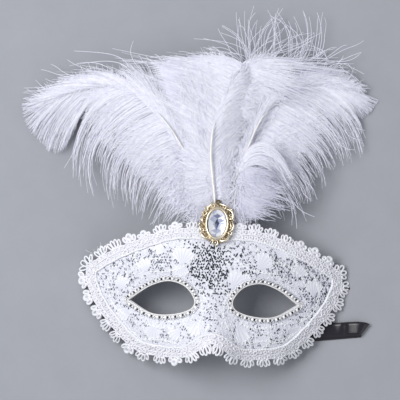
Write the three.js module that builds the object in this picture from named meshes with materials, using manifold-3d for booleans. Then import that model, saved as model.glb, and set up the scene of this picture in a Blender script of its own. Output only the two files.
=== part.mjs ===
// A lace half mask with a brooch and feathers, lying face up on its temples and feather tips.
// Millimetres. X runs across the face, Y from the nose notch to the feathers, Z up out of the face.
import * as THREE from 'three';
import { mergeVertices } from 'three/addons/utils/BufferGeometryUtils.js';
import Module from 'manifold-3d';

// Moulded shell: how it wraps round the face
const SHELL_HALF_WIDTH = 87.5;
const SHELL_THICKNESS = 1.2;
const WRAP_DEPTH = 34;
const WRAP_POWER = 2.2;
const TEMPLE_Y = 15;
const CHEEK_TAPER = 0.0075;
const BROW_LINE_Y = 10;
const PROFILE_RADIUS = 220;

// Features of the face: centre, half widths and height
const NOSE = { topY: 8, length: 38, rise: 15, halfTop: 8, halfBottom: 17, sharpness: 1.3, end: 1.1 };
const BROW = { x: 32, y: 24, halfX: 26, halfY: 9, rise: 3 };
const SOCKET = { x: 36, y: 1, halfX: 24, halfY: 12, rise: -3.5 };
const CHEEK = { x: 42, y: -24, halfX: 18, halfY: 10, rise: 2.5 };

// Shell rim, right half, from the middle of the forehead round the temple to the nose notch
const RIM = [
  [0, 47.5], [28, 47.2], [50, 40], [76, 27.5], [87.5, 17.5], [83, 0],
  [66, -22.5], [51, -34.8], [32, -38.2], [17, -37.8], [8, -32.4], [0, -28.5],
];
// Right eye hole, from its outer corner along the lower lid, round the inner end and back
const EYE = [
  [58.8, -1.8], [44, -9.9], [34, -11.2], [20.4, -8.8], [14.2, -5.4],
  [13, -0.8], [19.8, 9.2], [31, 13], [43, 9.4], [58.8, -1.8],
];
const EYE_CENTRE = [34, 0.5];

// Lace cloth over the shell, lace border and eye braid: heights above the shell's outer face
const COVER = { low: 0.5, high: 0.95 };
const BORDER = { low: 1.3, high: 2.4, inside: 5.8, notch: 3.8, scallop: 6.7, scallops: 44, restCut: 0.7 };
const BRAID = { low: 1.3, side: 2.3, top: 3.3, setback: 0.2, width: 3.6 };

// How finely the rim, the middle line, the rows between eye and rim, and the eye are stepped
const RIM_STEPS = 30;
const MIDDLE_STEPS = 10;
const ROWS = 5;
const ROW_CROWDING = 1.4;
const BRAID_STEPS = 34;
const STEPS_PER_SCALLOP = 4;
const OVAL_STEPS = 28;
const CURVE_SEGMENTS = 8;
const EYE_TRACE_STEPS = 240;
// Points closer than this are one point
const MERGE_DISTANCE = 1e-4;

// Brooch: an oval setting, a bezel and a faceted stone, leaning a little to the right
const BROOCH = { x: 0.6, y: 53.5, lift: 3.1, backTilt: 7, lean: 1.6 };
const PLATE = { halfX: 10.9, halfY: 13.3, lobe: 1.3, lobes: 13, thickness: 1.3 };
const BEZEL = { outerX: 8.2, outerY: 11.4, innerX: 6.8, innerY: 10.4, height: 3 };
const SCROLL = { halfX: 9.7, halfY: 12.4, radius: 1.5, count: 14 };
const RING = { radius: 1.9, hole: 0.75, y: 15, thickness: 1.2 };
const KNOB = { y: -14.2, radius: 2.3 };
const STONE = { halfX: 6.4, halfY: 10, gap: 0.3, girdle: 1.6, crown: 4.4, sides: 16 };
// The stone's rings as shares of its half widths
const STONE_SHARES = { back: 0.86, crown: 0.77, table: 0.46 };

// Feathers: every plume is a thin leaf with a quill along its spine and locks along its edges
const QUILL_HALF = 1.2;
const VANE_HALF = 0.9;
const TIP_THINNING = 0.6;
const CAMBER = 1.3;
const CAMBER_WIDTH = 20;
const VANE_UNDERSIDE = [4, 5, 6, 7];
const PLUMES = [
  {
    name: 'plume_left', locks: 15, depth: 0.13,
    spine: [[-6, 43, 31.8], [-9, 66, 30.2], [-23, 102, 26], [-45, 131, 20], [-74, 147, 13],
      [-103, 143, 6.5], [-129, 129, 1.4]],
    left: [[-7.4, 43, 31.6], [-28, 58, 28], [-52, 61, 24.5], [-75, 76, 18.5], [-98, 87, 11],
      [-119, 104, 4.5], [-137, 121, 0]],
    right: [[-4.8, 43, 31.6], [-4, 70, 29], [-11, 108, 25], [-30, 143, 19], [-68, 163, 12],
      [-106, 153, 5.5], [-137.5, 137, 0]],
  },
  {
    name: 'plume_centre', locks: 13, depth: 0.12,
    spine: [[0, 43, 32.2], [-1.6, 70, 32.8], [-5.3, 105, 31.5], [-2, 133, 27.5], [4, 152, 23.5],
      [-2, 164, 21], [-14, 169, 19]],
    left: [[-1.4, 43, 32], [-12, 76, 32], [-31, 104, 29.5], [-52, 128, 26], [-76, 151, 21],
      [-56, 164, 19], [-28, 171, 18]],
    right: [[1.4, 43, 32], [7, 74, 32.2], [14, 105, 29.5], [18, 133, 25.5], [20, 158, 21.5],
      [8, 169, 19.5], [-10, 172.5, 18]],
  },
  {
    name: 'plume_right', locks: 15, depth: 0.13,
    spine: [[6, 43, 30.6], [8.5, 70, 27.6], [18, 100, 24], [31.5, 131, 18.5], [55, 151, 12.5],
      [85, 150, 6.5], [106, 140, 1.4]],
    left: [[4.8, 43, 30.4], [3.5, 74, 26.8], [7, 112, 22.5], [20, 146, 17], [52, 166, 11.5],
      [86, 161, 5.5], [109.5, 146, 0]],
    right: [[7.2, 43, 30.4], [13, 51, 27.6], [26, 63, 26], [54, 63, 22.5], [69, 78, 17.5],
      [87, 102, 10], [101, 118, 4.5], [110, 132, 0]],
  },
  {
    name: 'plume_back', locks: 9, depth: 0.55,
    spine: [[1, 41, 28], [5, 72, 23.5], [11, 112, 17], [17, 148, 11], [22, 170, 8], [33, 192, 6]],
    left: [[-0.4, 41, 27.8], [1, 74, 23], [1, 116, 16.5], [-4, 156, 11], [-6, 192, 7.5], [23, 208, 5]],
    right: [[2.4, 41, 27.8], [10, 74, 23], [26, 116, 15], [62, 150, 6.5], [101, 182, 3.5], [66, 206, 4]],
  },
  {
    name: 'plume_curl', locks: 10, depth: 0.14,
    spine: [[11.5, 43, 31], [12.2, 56, 31.4], [13.6, 82, 35.6], [19, 99, 37], [29, 103.5, 37],
      [39, 98, 36], [47, 82, 33.5]],
    left: [[10.3, 43, 30.8], [10.2, 57, 31.2], [11, 84, 35.4], [17, 103, 36.2], [30, 108, 36.2],
      [44, 100, 35], [51, 82, 32.5]],
    right: [[12.7, 43, 30.8], [14.5, 57, 31.2], [22, 63, 33.4], [29, 64, 34], [36, 65, 33.4],
      [42, 66, 32.6], [48, 70, 31.6]],
  },
];

// Tie ribbons: a folded hank under each cheek, and a flat run from it up into the temple
const RIBBON = { width: 10, layer: 0.7, gap: 0.3, drop: 3 };
const HANK = { x: 47, y: -25, length: 46, height: 4 };
const RIBBON_RISE = { start: [66, -22], end: [76, -1], shares: [0, 0.35, 0.6, 0.8, 1], sag: 1.5 };
const RISE_TOP = [2];
const RIBBON_FOLD = [[66, -28], [68, -13], [92, -9.5], [109, -14.5], [110.5, -19], [95, -21]];

const wasm = await Module();
wasm.setup();
const { Manifold, Mesh: ManifoldMesh } = wasm;

function clamp01(value) {
  return Math.min(1, Math.max(0, value));
}

// A smooth hump of height 1, wide by its two half widths, alike on both sides of the face
function hump(x, y, shape) {
  const across = (Math.abs(x) - shape.x) / shape.halfX;
  const along = (y - shape.y) / shape.halfY;
  return shape.rise * Math.exp(-across * across - along * along);
}

// Height of the shell's outer face above or below its highest plain point
function faceHeight(x, y) {
  const below = Math.max(0, TEMPLE_Y - y);
  const halfWidth = SHELL_HALF_WIDTH - CHEEK_TAPER * below * below;
  const wrap = WRAP_DEPTH * Math.pow(Math.abs(x) / halfWidth, WRAP_POWER);
  const profile = (y - BROW_LINE_Y) ** 2 / (2 * PROFILE_RADIUS);
  const down = Math.max(0, (NOSE.topY - y) / NOSE.length);
  const noseHalf = NOSE.halfTop + (NOSE.halfBottom - NOSE.halfTop) * clamp01(down);
  const bridge = NOSE.rise * Math.pow(Math.min(down, NOSE.end), NOSE.sharpness);
  const nose = bridge * Math.exp(-((x / noseHalf) ** 2));
  return nose + hump(x, y, BROW) + hump(x, y, SOCKET) + hump(x, y, CHEEK) - wrap - profile;
}

// The point that stands `lift` above the shell's outer face, square to it
function onFace(x, y, lift) {
  const step = 0.05;
  const slopeX = (faceHeight(x + step, y) - faceHeight(x - step, y)) / (2 * step);
  const slopeY = (faceHeight(x, y + step) - faceHeight(x, y - step)) / (2 * step);
  const normal = new THREE.Vector3(-slopeX, -slopeY, 1).normalize();
  return new THREE.Vector3(x, y, faceHeight(x, y)).addScaledVector(normal, lift);
}

function curveThrough(points, closed = false) {
  const vectors = points.map(([x, y, z = 0]) => new THREE.Vector3(x, y, z));
  return new THREE.CatmullRomCurve3(vectors, closed, 'centripetal');
}

// Faces the mesh outwards, so that its signed volume is positive
function facingOut(points, triangles) {
  let volume = 0;
  for (const [a, b, c] of triangles) {
    volume += points[a].dot(new THREE.Vector3().crossVectors(points[b], points[c]));
  }
  return volume < 0 ? triangles.map(([a, b, c]) => [a, c, b]) : triangles;
}

function geometryFrom(points, triangles) {
  const geometry = new THREE.BufferGeometry();
  const flat = points.flatMap((point) => [point.x, point.y, point.z]);
  geometry.setAttribute('position', new THREE.Float32BufferAttribute(flat, 3));
  geometry.setIndex(facingOut(points, triangles).flat());
  return mergeVertices(geometry, MERGE_DISTANCE);
}

function quad(triangles, a, b, c, d) {
  triangles.push([a, b, c], [a, c, d]);
}

// A closed body through rings of points: open strips get end caps, loops join end to end. The sides
// in `turned` are cut along their other diagonal, so that the two faces of a thin strip match.
function skin(rings, loop = false, turned = []) {
  const size = rings[0].length;
  const triangles = [];
  const last = loop ? rings.length : rings.length - 1;
  for (let i = 0; i < last; i += 1) {
    const here = i * size;
    const next = ((i + 1) % rings.length) * size;
    for (let k = 0; k < size; k += 1) {
      const after = (k + 1) % size;
      const corners = [here + k, next + k, next + after, here + after];
      if (turned.includes(k)) corners.push(corners.shift());
      quad(triangles, ...corners);
    }
  }
  if (!loop) {
    const end = (rings.length - 1) * size;
    for (let k = 1; k < size - 1; k += 1) {
      triangles.push([0, k, k + 1], [end, end + k + 1, end + k]);
    }
  }
  return geometryFrom(rings.flat(), triangles);
}

function toManifold(geometry) {
  const bare = geometry.clone();
  bare.deleteAttribute('normal');
  bare.deleteAttribute('uv');
  const merged = mergeVertices(bare, MERGE_DISTANCE);
  return new Manifold(new ManifoldMesh({
    numProp: 3,
    vertProperties: new Float32Array(merged.attributes.position.array),
    triVerts: new Uint32Array(merged.index.array),
  }));
}

function fromManifold(solid) {
  const mesh = solid.getMesh();
  const geometry = new THREE.BufferGeometry();
  geometry.setAttribute('position', new THREE.BufferAttribute(new Float32Array(mesh.vertProperties), 3));
  geometry.setIndex(new THREE.BufferAttribute(new Uint32Array(mesh.triVerts), 1));
  return geometry;
}

function joined(geometries) {
  return fromManifold(geometries.map(toManifold).reduce((whole, piece) => whole.add(piece)));
}

// Where a ray from `origin` at `angle` leaves a closed outline
function rayHit(outline, origin, angle) {
  const [ox, oy] = origin;
  const dx = Math.cos(angle);
  const dy = Math.sin(angle);
  let reach = 0;
  for (let i = 0; i < outline.length; i += 1) {
    const [ax, ay] = outline[i];
    const [bx, by] = outline[(i + 1) % outline.length];
    const cross = dx * (by - ay) - dy * (bx - ax);
    if (Math.abs(cross) < 1e-12) continue;
    const along = ((ax - ox) * (by - ay) - (ay - oy) * (bx - ax)) / cross;
    const share = ((ax - ox) * dy - (ay - oy) * dx) / cross;
    if (along > reach && share >= 0 && share <= 1) reach = along;
  }
  return [ox + dx * reach, oy + dy * reach];
}

function flatPoints(curve, steps) {
  return curve.getSpacedPoints(steps).map((point) => [point.x, point.y]);
}

const mirroredRim = RIM.slice(1, -1).reverse().map(([x, y]) => [-x, y]);
const rimCurve = curveThrough([...RIM, ...mirroredRim], true);
const eyeCurve = curveThrough(EYE);

// Rings of plan points from the right eye hole out to the right half's edge, clockwise
function halfMaskRows() {
  const rim = flatPoints(rimCurve, 2 * RIM_STEPS).slice(0, RIM_STEPS + 1);
  rim[0][0] = 0;
  rim[RIM_STEPS][0] = 0;
  const middle = [];
  for (let i = 1; i < MIDDLE_STEPS; i += 1) {
    const share = i / MIDDLE_STEPS;
    middle.push([0, THREE.MathUtils.lerp(rim[RIM_STEPS][1], rim[0][1], share)]);
  }
  const outer = [...rim, ...middle];
  const eye = flatPoints(eyeCurve, EYE_TRACE_STEPS);
  const [cx, cy] = EYE_CENTRE;
  const angles = outer.map(([x, y]) => Math.atan2(y - cy, x - cx));
  const corner = Math.atan2(EYE[0][1] - cy, EYE[0][0] - cx);
  const nearest = angles.reduce((best, angle, i) => (
    Math.abs(angle - corner) < Math.abs(angles[best] - corner) ? i : best), 0);
  angles[nearest] = corner;
  outer[nearest] = rayHit(outer, EYE_CENTRE, corner);
  const inner = angles.map((angle) => rayHit(eye, EYE_CENTRE, angle));
  return outer.map((far, i) => {
    const near = inner[i];
    const row = [];
    for (let j = 0; j <= ROWS; j += 1) {
      const share = 1 - Math.pow(1 - j / ROWS, ROW_CROWDING);
      row.push([0, 1].map((axis) => THREE.MathUtils.lerp(near[axis], far[axis], share)));
    }
    return row;
  });
}

// A skin of even thickness over the whole mask, open at both eyes
function maskSkin(low, high) {
  const rows = halfMaskRows();
  const count = rows.length;
  const points = [];
  const triangles = [];
  const layer = count * (ROWS + 1);
  for (const side of [1, -1]) {
    const base = points.length;
    for (const lift of [low, high]) {
      for (const row of rows) {
        for (const [x, y] of row) points.push(onFace(side * x, y, lift));
      }
    }
    const face = (a, b, c, d) => (side > 0 ? quad(triangles, b, c, d, a) : quad(triangles, b, a, d, c));
    for (let i = 0; i < count; i += 1) {
      const here = base + i * (ROWS + 1);
      const next = base + ((i + 1) % count) * (ROWS + 1);
      for (let j = 0; j < ROWS; j += 1) {
        face(layer + here + j, layer + next + j, layer + next + j + 1, layer + here + j + 1);
        face(here + j + 1, next + j + 1, next + j, here + j);
      }
      face(here, next, layer + next, layer + here);
      if (i < RIM_STEPS) {
        face(layer + here + ROWS, layer + next + ROWS, next + ROWS, here + ROWS);
      }
    }
  }
  return geometryFrom(points, triangles);
}

// Unit normals in plan, pointing out of a closed clockwise line of points
function planNormals(points) {
  return points.map((_, i) => {
    const before = points[(i + points.length - 1) % points.length];
    const after = points[(i + 1) % points.length];
    const dx = after[0] - before[0];
    const dy = after[1] - before[1];
    const size = Math.hypot(dx, dy);
    return [-dy / size, dx / size];
  });
}

function shifted(point, normal, distance) {
  return [point[0] + normal[0] * distance, point[1] + normal[1] * distance];
}

// The lace border: a band over the shell's rim, its outer edge in scallops
function laceBorder() {
  const steps = BORDER.scallops * STEPS_PER_SCALLOP;
  const rim = flatPoints(rimCurve, steps).slice(0, steps);
  const normals = planNormals(rim);
  const rings = rim.map((point, i) => {
    const phase = Math.abs(Math.sin(Math.PI * (i / STEPS_PER_SCALLOP)));
    const reach = BORDER.notch + (BORDER.scallop - BORDER.notch) * Math.sqrt(phase);
    const inner = shifted(point, normals[i], -BORDER.inside);
    const outer = shifted(point, normals[i], reach);
    return [
      onFace(...inner, BORDER.low), onFace(...inner, BORDER.high), onFace(...point, BORDER.high),
      onFace(...outer, BORDER.high), onFace(...outer, BORDER.low), onFace(...point, BORDER.low),
    ];
  });
  return skin(rings, true);
}

// The border with its lowest loops pressed flat where the mask lies on them
function restingBorder(band, floor) {
  const size = 4 * SHELL_HALF_WIDTH;
  const below = new THREE.BoxGeometry(size, size, size).translate(0, 0, floor - size / 2);
  return fromManifold(toManifold(band).subtract(toManifold(below)));
}

// The braid round one eye: a low D-shaped band standing just outside the hole
function eyeBraid(side) {
  const eye = flatPoints(eyeCurve, BRAID_STEPS).slice(0, BRAID_STEPS);
  const normals = planNormals(eye);
  const rings = eye.map((point, i) => {
    const near = shifted(point, normals[i], BRAID.setback);
    const middle = shifted(point, normals[i], BRAID.setback + BRAID.width / 2);
    const far = shifted(point, normals[i], BRAID.setback + BRAID.width);
    return [
      onFace(side * near[0], near[1], BRAID.low), onFace(side * near[0], near[1], BRAID.side),
      onFace(side * middle[0], middle[1], BRAID.top),
      onFace(side * far[0], far[1], BRAID.side), onFace(side * far[0], far[1], BRAID.low),
    ];
  });
  return skin(rings, true);
}

function ovalShape(halfX, halfY, steps, lobe = 0, lobes = 1) {
  const shape = new THREE.Shape();
  for (let i = 0; i < steps; i += 1) {
    const angle = (2 * Math.PI * i) / steps;
    const bulge = lobe * Math.abs(Math.sin((lobes * angle) / 2));
    const x = (halfX + bulge) * Math.cos(angle);
    const y = (halfY + bulge) * Math.sin(angle);
    if (i === 0) shape.moveTo(x, y);
    else shape.lineTo(x, y);
  }
  shape.closePath();
  return shape;
}

function extruded(shape, depth, z = 0) {
  const settings = { depth, bevelEnabled: false, curveSegments: CURVE_SEGMENTS };
  return new THREE.ExtrudeGeometry(shape, settings).translate(0, 0, z);
}

function bead(x, y, z, radius, flatten = 0.7) {
  return new THREE.IcosahedronGeometry(radius, 0).scale(1, 1, flatten).translate(x, y, z);
}

// The gold setting: lobed plate, bezel, a ring of scroll beads, a hanging ring and a lower knob
function broochSetting() {
  const { halfX, halfY, lobe, lobes, thickness } = PLATE;
  const plate = extruded(ovalShape(halfX, halfY, 4 * lobes, lobe, lobes), thickness);
  const bezelShape = ovalShape(BEZEL.outerX, BEZEL.outerY, OVAL_STEPS);
  bezelShape.holes.push(ovalShape(BEZEL.innerX, BEZEL.innerY, OVAL_STEPS));
  const bezel = extruded(bezelShape, BEZEL.height, thickness / 2);
  const ringShape = new THREE.Shape().absarc(0, RING.y, RING.radius, 0, 2 * Math.PI);
  ringShape.holes.push(new THREE.Path().absarc(0, RING.y, RING.hole, 0, 2 * Math.PI));
  const ring = extruded(ringShape, RING.thickness, thickness / 4);
  const pieces = [plate, bezel, ring, bead(0, KNOB.y, thickness, KNOB.radius)];
  for (let i = 0; i < SCROLL.count; i += 1) {
    const angle = (2 * Math.PI * (i + 0.5)) / SCROLL.count;
    const [x, y] = [SCROLL.halfX * Math.cos(angle), SCROLL.halfY * Math.sin(angle)];
    pieces.push(bead(x, y, thickness, SCROLL.radius));
  }
  return joined(pieces);
}

// The stone: a flat-backed oval with a girdle, a row of crown facets and a table
function broochStone() {
  const base = PLATE.thickness + STONE.gap;
  const ring = (scale, z, turn) => {
    const points = [];
    for (let i = 0; i < STONE.sides; i += 1) {
      const angle = (2 * Math.PI * (i + turn)) / STONE.sides;
      points.push(new THREE.Vector3(
        scale * STONE.halfX * Math.cos(angle), scale * STONE.halfY * Math.sin(angle), base + z));
    }
    return points;
  };
  const { girdle, crown } = STONE;
  return skin([
    ring(STONE_SHARES.back, 0, 0), ring(1, girdle / 2, 0), ring(1, girdle, 0),
    ring(STONE_SHARES.crown, (girdle + crown) / 2, 0.5), ring(STONE_SHARES.table, crown, 0),
  ]);
}

// One feather: a leaf, thickest along the quill, whose edges are drawn in between the locks
function plume({ spine, left, right, locks, depth }) {
  const steps = 2 * locks;
  const lines = [spine, left, right].map((points) => curveThrough(points).getSpacedPoints(steps));
  const rings = [];
  for (let i = 0; i <= steps; i += 1) {
    const middle = lines[0][i];
    const drawn = i % 2 === 1 && i < steps ? depth : 0;
    const [edgeLeft, edgeRight] = [lines[1][i], lines[2][i]].map((edge) => edge.clone().lerp(middle, drawn));
    const thin = 1 - (TIP_THINNING * i) / steps;
    const vane = (edge, face) => {
      const rise = CAMBER * clamp01(edge.distanceTo(middle) / CAMBER_WIDTH);
      const height = new THREE.Vector3(0, 0, rise + face * VANE_HALF * thin);
      return edge.clone().lerp(middle, 0.5).add(height);
    };
    const up = new THREE.Vector3(0, 0, QUILL_HALF * thin);
    rings.push([
      edgeLeft, vane(edgeLeft, 1), middle.clone().add(up), vane(edgeRight, 1),
      edgeRight, vane(edgeRight, -1), middle.clone().sub(up), vane(edgeLeft, -1),
    ]);
  }
  return skin(rings, false, VANE_UNDERSIDE);
}

// The ribbon's run up into the temple: a flat strip that ends on the shell's inner face
function ribbonRise(side, floor) {
  const { start, end, shares, sag } = RIBBON_RISE;
  const direction = new THREE.Vector2(end[0] - start[0], end[1] - start[1]).normalize();
  const across = new THREE.Vector3(-direction.y, direction.x, 0).multiplyScalar(RIBBON.width / 2);
  const rings = shares.map((share) => {
    const x = THREE.MathUtils.lerp(start[0], end[0], share);
    const y = THREE.MathUtils.lerp(start[1], end[1], share);
    const thick = new THREE.Vector3(0, 0, RIBBON.layer);
    const corners = [-1, 1].map((edge) => {
      const corner = new THREE.Vector3(x, y, 0).addScaledVector(across, edge);
      const top = faceHeight(corner.x, corner.y) - RIBBON.drop;
      corner.z = THREE.MathUtils.lerp(floor + HANK.height / 2, top, Math.pow(share, sag));
      return corner;
    });
    return [corners[0], corners[1], corners[1].clone().add(thick), corners[0].clone().add(thick)];
  });
  const strip = skin(rings, false, RISE_TOP);
  return side > 0 ? strip : mirrored(strip);
}

function mirrored(geometry) {
  const turned = geometry.clone().scale(-1, 1, 1);
  const index = Array.from(turned.index.array);
  for (let i = 0; i < index.length; i += 3) [index[i + 1], index[i + 2]] = [index[i + 2], index[i + 1]];
  turned.setIndex(index);
  return turned;
}

function polygonPlate(corners, depth, z) {
  const shape = new THREE.Shape(corners.map(([x, y]) => new THREE.Vector2(x, y)));
  return extruded(shape, depth, z);
}

// A folded ribbon under one cheek; the right one also has the fold that peeps out past the border
function ribbon(side, floor) {
  const low = floor + RIBBON.gap;
  const corners = [[-1, -1], [1, -1], [1, 1], [-1, 1]].map(([a, b]) => (
    [side * (HANK.x + (a * HANK.length) / 2), HANK.y + (b * RIBBON.width) / 2]));
  const pieces = [polygonPlate(corners, HANK.height, low), ribbonRise(side, floor)];
  if (side > 0) pieces.push(polygonPlate(RIBBON_FOLD, 2 * RIBBON.layer, low));
  return joined(pieces);
}

function finish(color, roughness, metalness = 0, extra = {}) {
  return new THREE.MeshStandardMaterial({ color, roughness, metalness, ...extra });
}

const finishes = {
  shell: () => finish(0xf1f1f4, 0.45),
  lace: () => finish(0xeeeef2, 0.7),
  border: () => finish(0xf4f4f7, 0.8),
  braid: () => finish(0xc9c9cc, 0.3, 0.7),
  gold: () => finish(0xcaa65a, 0.3, 1),
  stone: () => finish(0xe6ebf5, 0.05, 0, { transparent: true, opacity: 0.5 }),
  feather: () => finish(0xf0f0f8, 0.9),
  satin: () => finish(0x0b0a0f, 0.35),
};

function part(name, geometry, material) {
  const flat = geometry.index ? geometry.toNonIndexed() : geometry;
  flat.computeVertexNormals();
  const mesh = new THREE.Mesh(flat, material);
  mesh.name = name;
  return mesh;
}

const band = laceBorder();
band.computeBoundingBox();
const floor = band.boundingBox.min.z + BORDER.restCut;

const mask = new THREE.Group();
mask.add(part('mask_shell', maskSkin(-SHELL_THICKNESS, 0), finishes.shell()));
mask.add(part('lace_cover', maskSkin(COVER.low, COVER.high), finishes.lace()));
mask.add(part('lace_border', restingBorder(band, floor), finishes.border()));
mask.add(part('eye_braid_left', eyeBraid(-1), finishes.braid()));
mask.add(part('eye_braid_right', eyeBraid(1), finishes.braid()));
mask.add(part('ribbon_left', ribbon(-1, floor), finishes.satin()));
mask.add(part('ribbon_right', ribbon(1, floor), finishes.satin()));

// Feather heights are counted from the table
const feathers = new THREE.Group();
feathers.position.z = floor;
for (const feather of PLUMES) {
  feathers.add(part(feather.name, plume(feather), finishes.feather()));
}
mask.add(feathers);

const brooch = new THREE.Group();
brooch.position.set(BROOCH.x, BROOCH.y, faceHeight(0, RIM[0][1]) + BROOCH.lift);
brooch.rotation.set(THREE.MathUtils.degToRad(-BROOCH.backTilt), 0, THREE.MathUtils.degToRad(-BROOCH.lean));
brooch.add(part('brooch_setting', broochSetting(), finishes.gold()));
brooch.add(part('brooch_stone', broochStone(), finishes.stone()));
mask.add(brooch);

// The origin is the middle of the underside of the whole part
const box = new THREE.Box3().setFromObject(mask, true);
const centre = box.getCenter(new THREE.Vector3());
mask.position.set(-centre.x, -centre.y, -box.min.z);

export default mask;
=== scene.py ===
"""A lace half mask with silver eye braid, a gold brooch and white plumes, lying face up.

Lengths are millimetres until a mesh is made. The mask's own frame has its origin between
the eyes: X runs across the face, Y from the nose notch to the feathers, Z out of the face.
"""

import logging
import math
from dataclasses import dataclass, field
from enum import Enum

import bpy
import numpy as np
from mathutils import Matrix, Vector

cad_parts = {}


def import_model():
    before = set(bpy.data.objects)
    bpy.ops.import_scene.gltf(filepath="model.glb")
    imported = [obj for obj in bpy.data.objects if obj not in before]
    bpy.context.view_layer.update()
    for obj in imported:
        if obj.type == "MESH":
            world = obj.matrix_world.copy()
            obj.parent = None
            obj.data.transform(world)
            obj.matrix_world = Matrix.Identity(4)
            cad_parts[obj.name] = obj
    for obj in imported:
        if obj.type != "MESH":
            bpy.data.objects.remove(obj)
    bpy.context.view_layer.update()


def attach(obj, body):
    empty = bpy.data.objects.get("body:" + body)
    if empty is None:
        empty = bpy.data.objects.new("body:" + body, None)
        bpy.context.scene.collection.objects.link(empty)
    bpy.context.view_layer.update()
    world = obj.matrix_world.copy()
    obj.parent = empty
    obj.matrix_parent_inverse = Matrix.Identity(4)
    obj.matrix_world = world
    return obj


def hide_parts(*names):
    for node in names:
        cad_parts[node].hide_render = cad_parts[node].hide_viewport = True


LOG = logging.getLogger("lace_mask")
Array = np.ndarray

MM = 0.001
FULL_TURN = 2 * math.pi
TINY = 1e-9  # keeps a division clear of zero
UP = np.array([0.0, 0.0, 1.0])
BETWEEN_EYES = np.array([13.5, -81.053, 38.147])  # in the part's frame
TABLE = -BETWEEN_EYES[2]  # height of the table in the mask's frame

# Shell rim, right half, and right eye hole, in the mask's frame
RIM = [
    (0, 47.5), (28, 47.2), (50, 40), (76, 27.5), (87.5, 17.5), (83, 0), (66, -22.5), (51, -34.8),
    (32, -38.2), (17, -37.8), (8, -32.4), (0, -28.5)]
EYE = [
    (58.8, -1.8), (44, -9.9), (34, -11.2), (20.4, -8.8), (14.2, -5.4), (13, -0.8), (19.8, 9.2), (31, 13),
    (43, 9.4), (58.8, -1.8)]
EYE_CENTRE = np.array([34.0, 0.5])


class Hand(Enum):
    """A side of the mask, as its wearer's picture shows it, with the sign of its X."""

    LEFT = -1
    RIGHT = 1


class Slot(Enum):
    """The record's material slots."""

    SHELL = "moulded_plastic"
    FOIL_LACE = "foil_lace"
    GUIPURE = "guipure_lace"
    BRAID = "silver_braid"
    SATIN = "black_satin"
    FEATHER = "white_feather"
    GOLD = "gold_plate"
    STONE = "clear_stone"


# Shared helpers


def unit(vectors: Array) -> Array:
    """Vectors scaled to length 1 along their last axis."""
    return vectors / np.maximum(np.linalg.norm(vectors, axis=-1, keepdims=True), TINY)


def round_turn(steps: int) -> Array:
    """Even angles round one whole turn, the last not repeating the first."""
    return np.linspace(0, FULL_TURN, steps, endpoint=False)


def heading(angle: Array) -> Array:
    """Unit vectors in plan at the given angles."""
    return np.stack([np.cos(angle), np.sin(angle)], axis=-1)


def smooth_curve(points: list, steps: int, closed: bool = False) -> Array:
    """Even steps along a smooth curve through control points.

    Args:
        points: The control points, flat or in space.
        steps: How many steps to cut the curve into.
        closed: Whether the curve joins its own start.

    Returns:
        steps + 1 points.
    """
    samples = 24  # for each stretch between two control points
    knots = np.asarray(points, float)
    if closed:
        ring = np.concatenate([knots[-1:], knots, knots[:2]])
    else:
        ring = np.concatenate([2 * knots[:1] - knots[1:2], knots, 2 * knots[-1:] - knots[-2:-1]])
    share = np.linspace(0, 1, samples, endpoint=False)[:, None]
    runs = []
    for p0, p1, p2, p3 in zip(ring, ring[1:], ring[2:], ring[3:]):
        d0, d1, d2 = (np.linalg.norm(b - a) ** 0.5 for a, b in ((p0, p1), (p1, p2), (p2, p3)))
        t1 = ((p1 - p0) / d0 - (p2 - p0) / (d0 + d1) + (p2 - p1) / d1) * d1
        t2 = ((p2 - p1) / d1 - (p3 - p1) / (d1 + d2) + (p3 - p2) / d2) * d1
        runs.append(
            p1 + t1 * share + (3 * (p2 - p1) - 2 * t1 - t2) * share**2 + (2 * (p1 - p2) + t1 + t2)
            * share**3)
    runs.append(knots[:1] if closed else knots[-1:])
    line = np.concatenate(runs)
    length = np.concatenate([[0], np.cumsum(np.linalg.norm(np.diff(line, axis=0), axis=1))])
    even = np.linspace(0, length[-1], steps + 1)
    return np.stack([np.interp(even, length, column) for column in line.T], axis=1)


def along(line: Array, share: Array) -> Array:
    """Points at the given shares, 0 to 1, of an evenly stepped line."""
    place = np.clip(share, 0, 1) * (len(line) - 1)
    return np.stack([np.interp(place, np.arange(len(line)), column) for column in line.T], axis=-1)


# The face's form


@dataclass(frozen=True)
class Hump:
    """A smooth swelling, alike on both sides of the face."""

    x: float
    y: float
    half_x: float
    half_y: float
    rise: float

    def at(self, x: Array, y: Array) -> Array:
        """Its height at places on the face."""
        return self.rise * np.exp(
            -(((np.abs(x) - self.x) / self.half_x) ** 2) - ((y - self.y) / self.half_y) ** 2)


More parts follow.
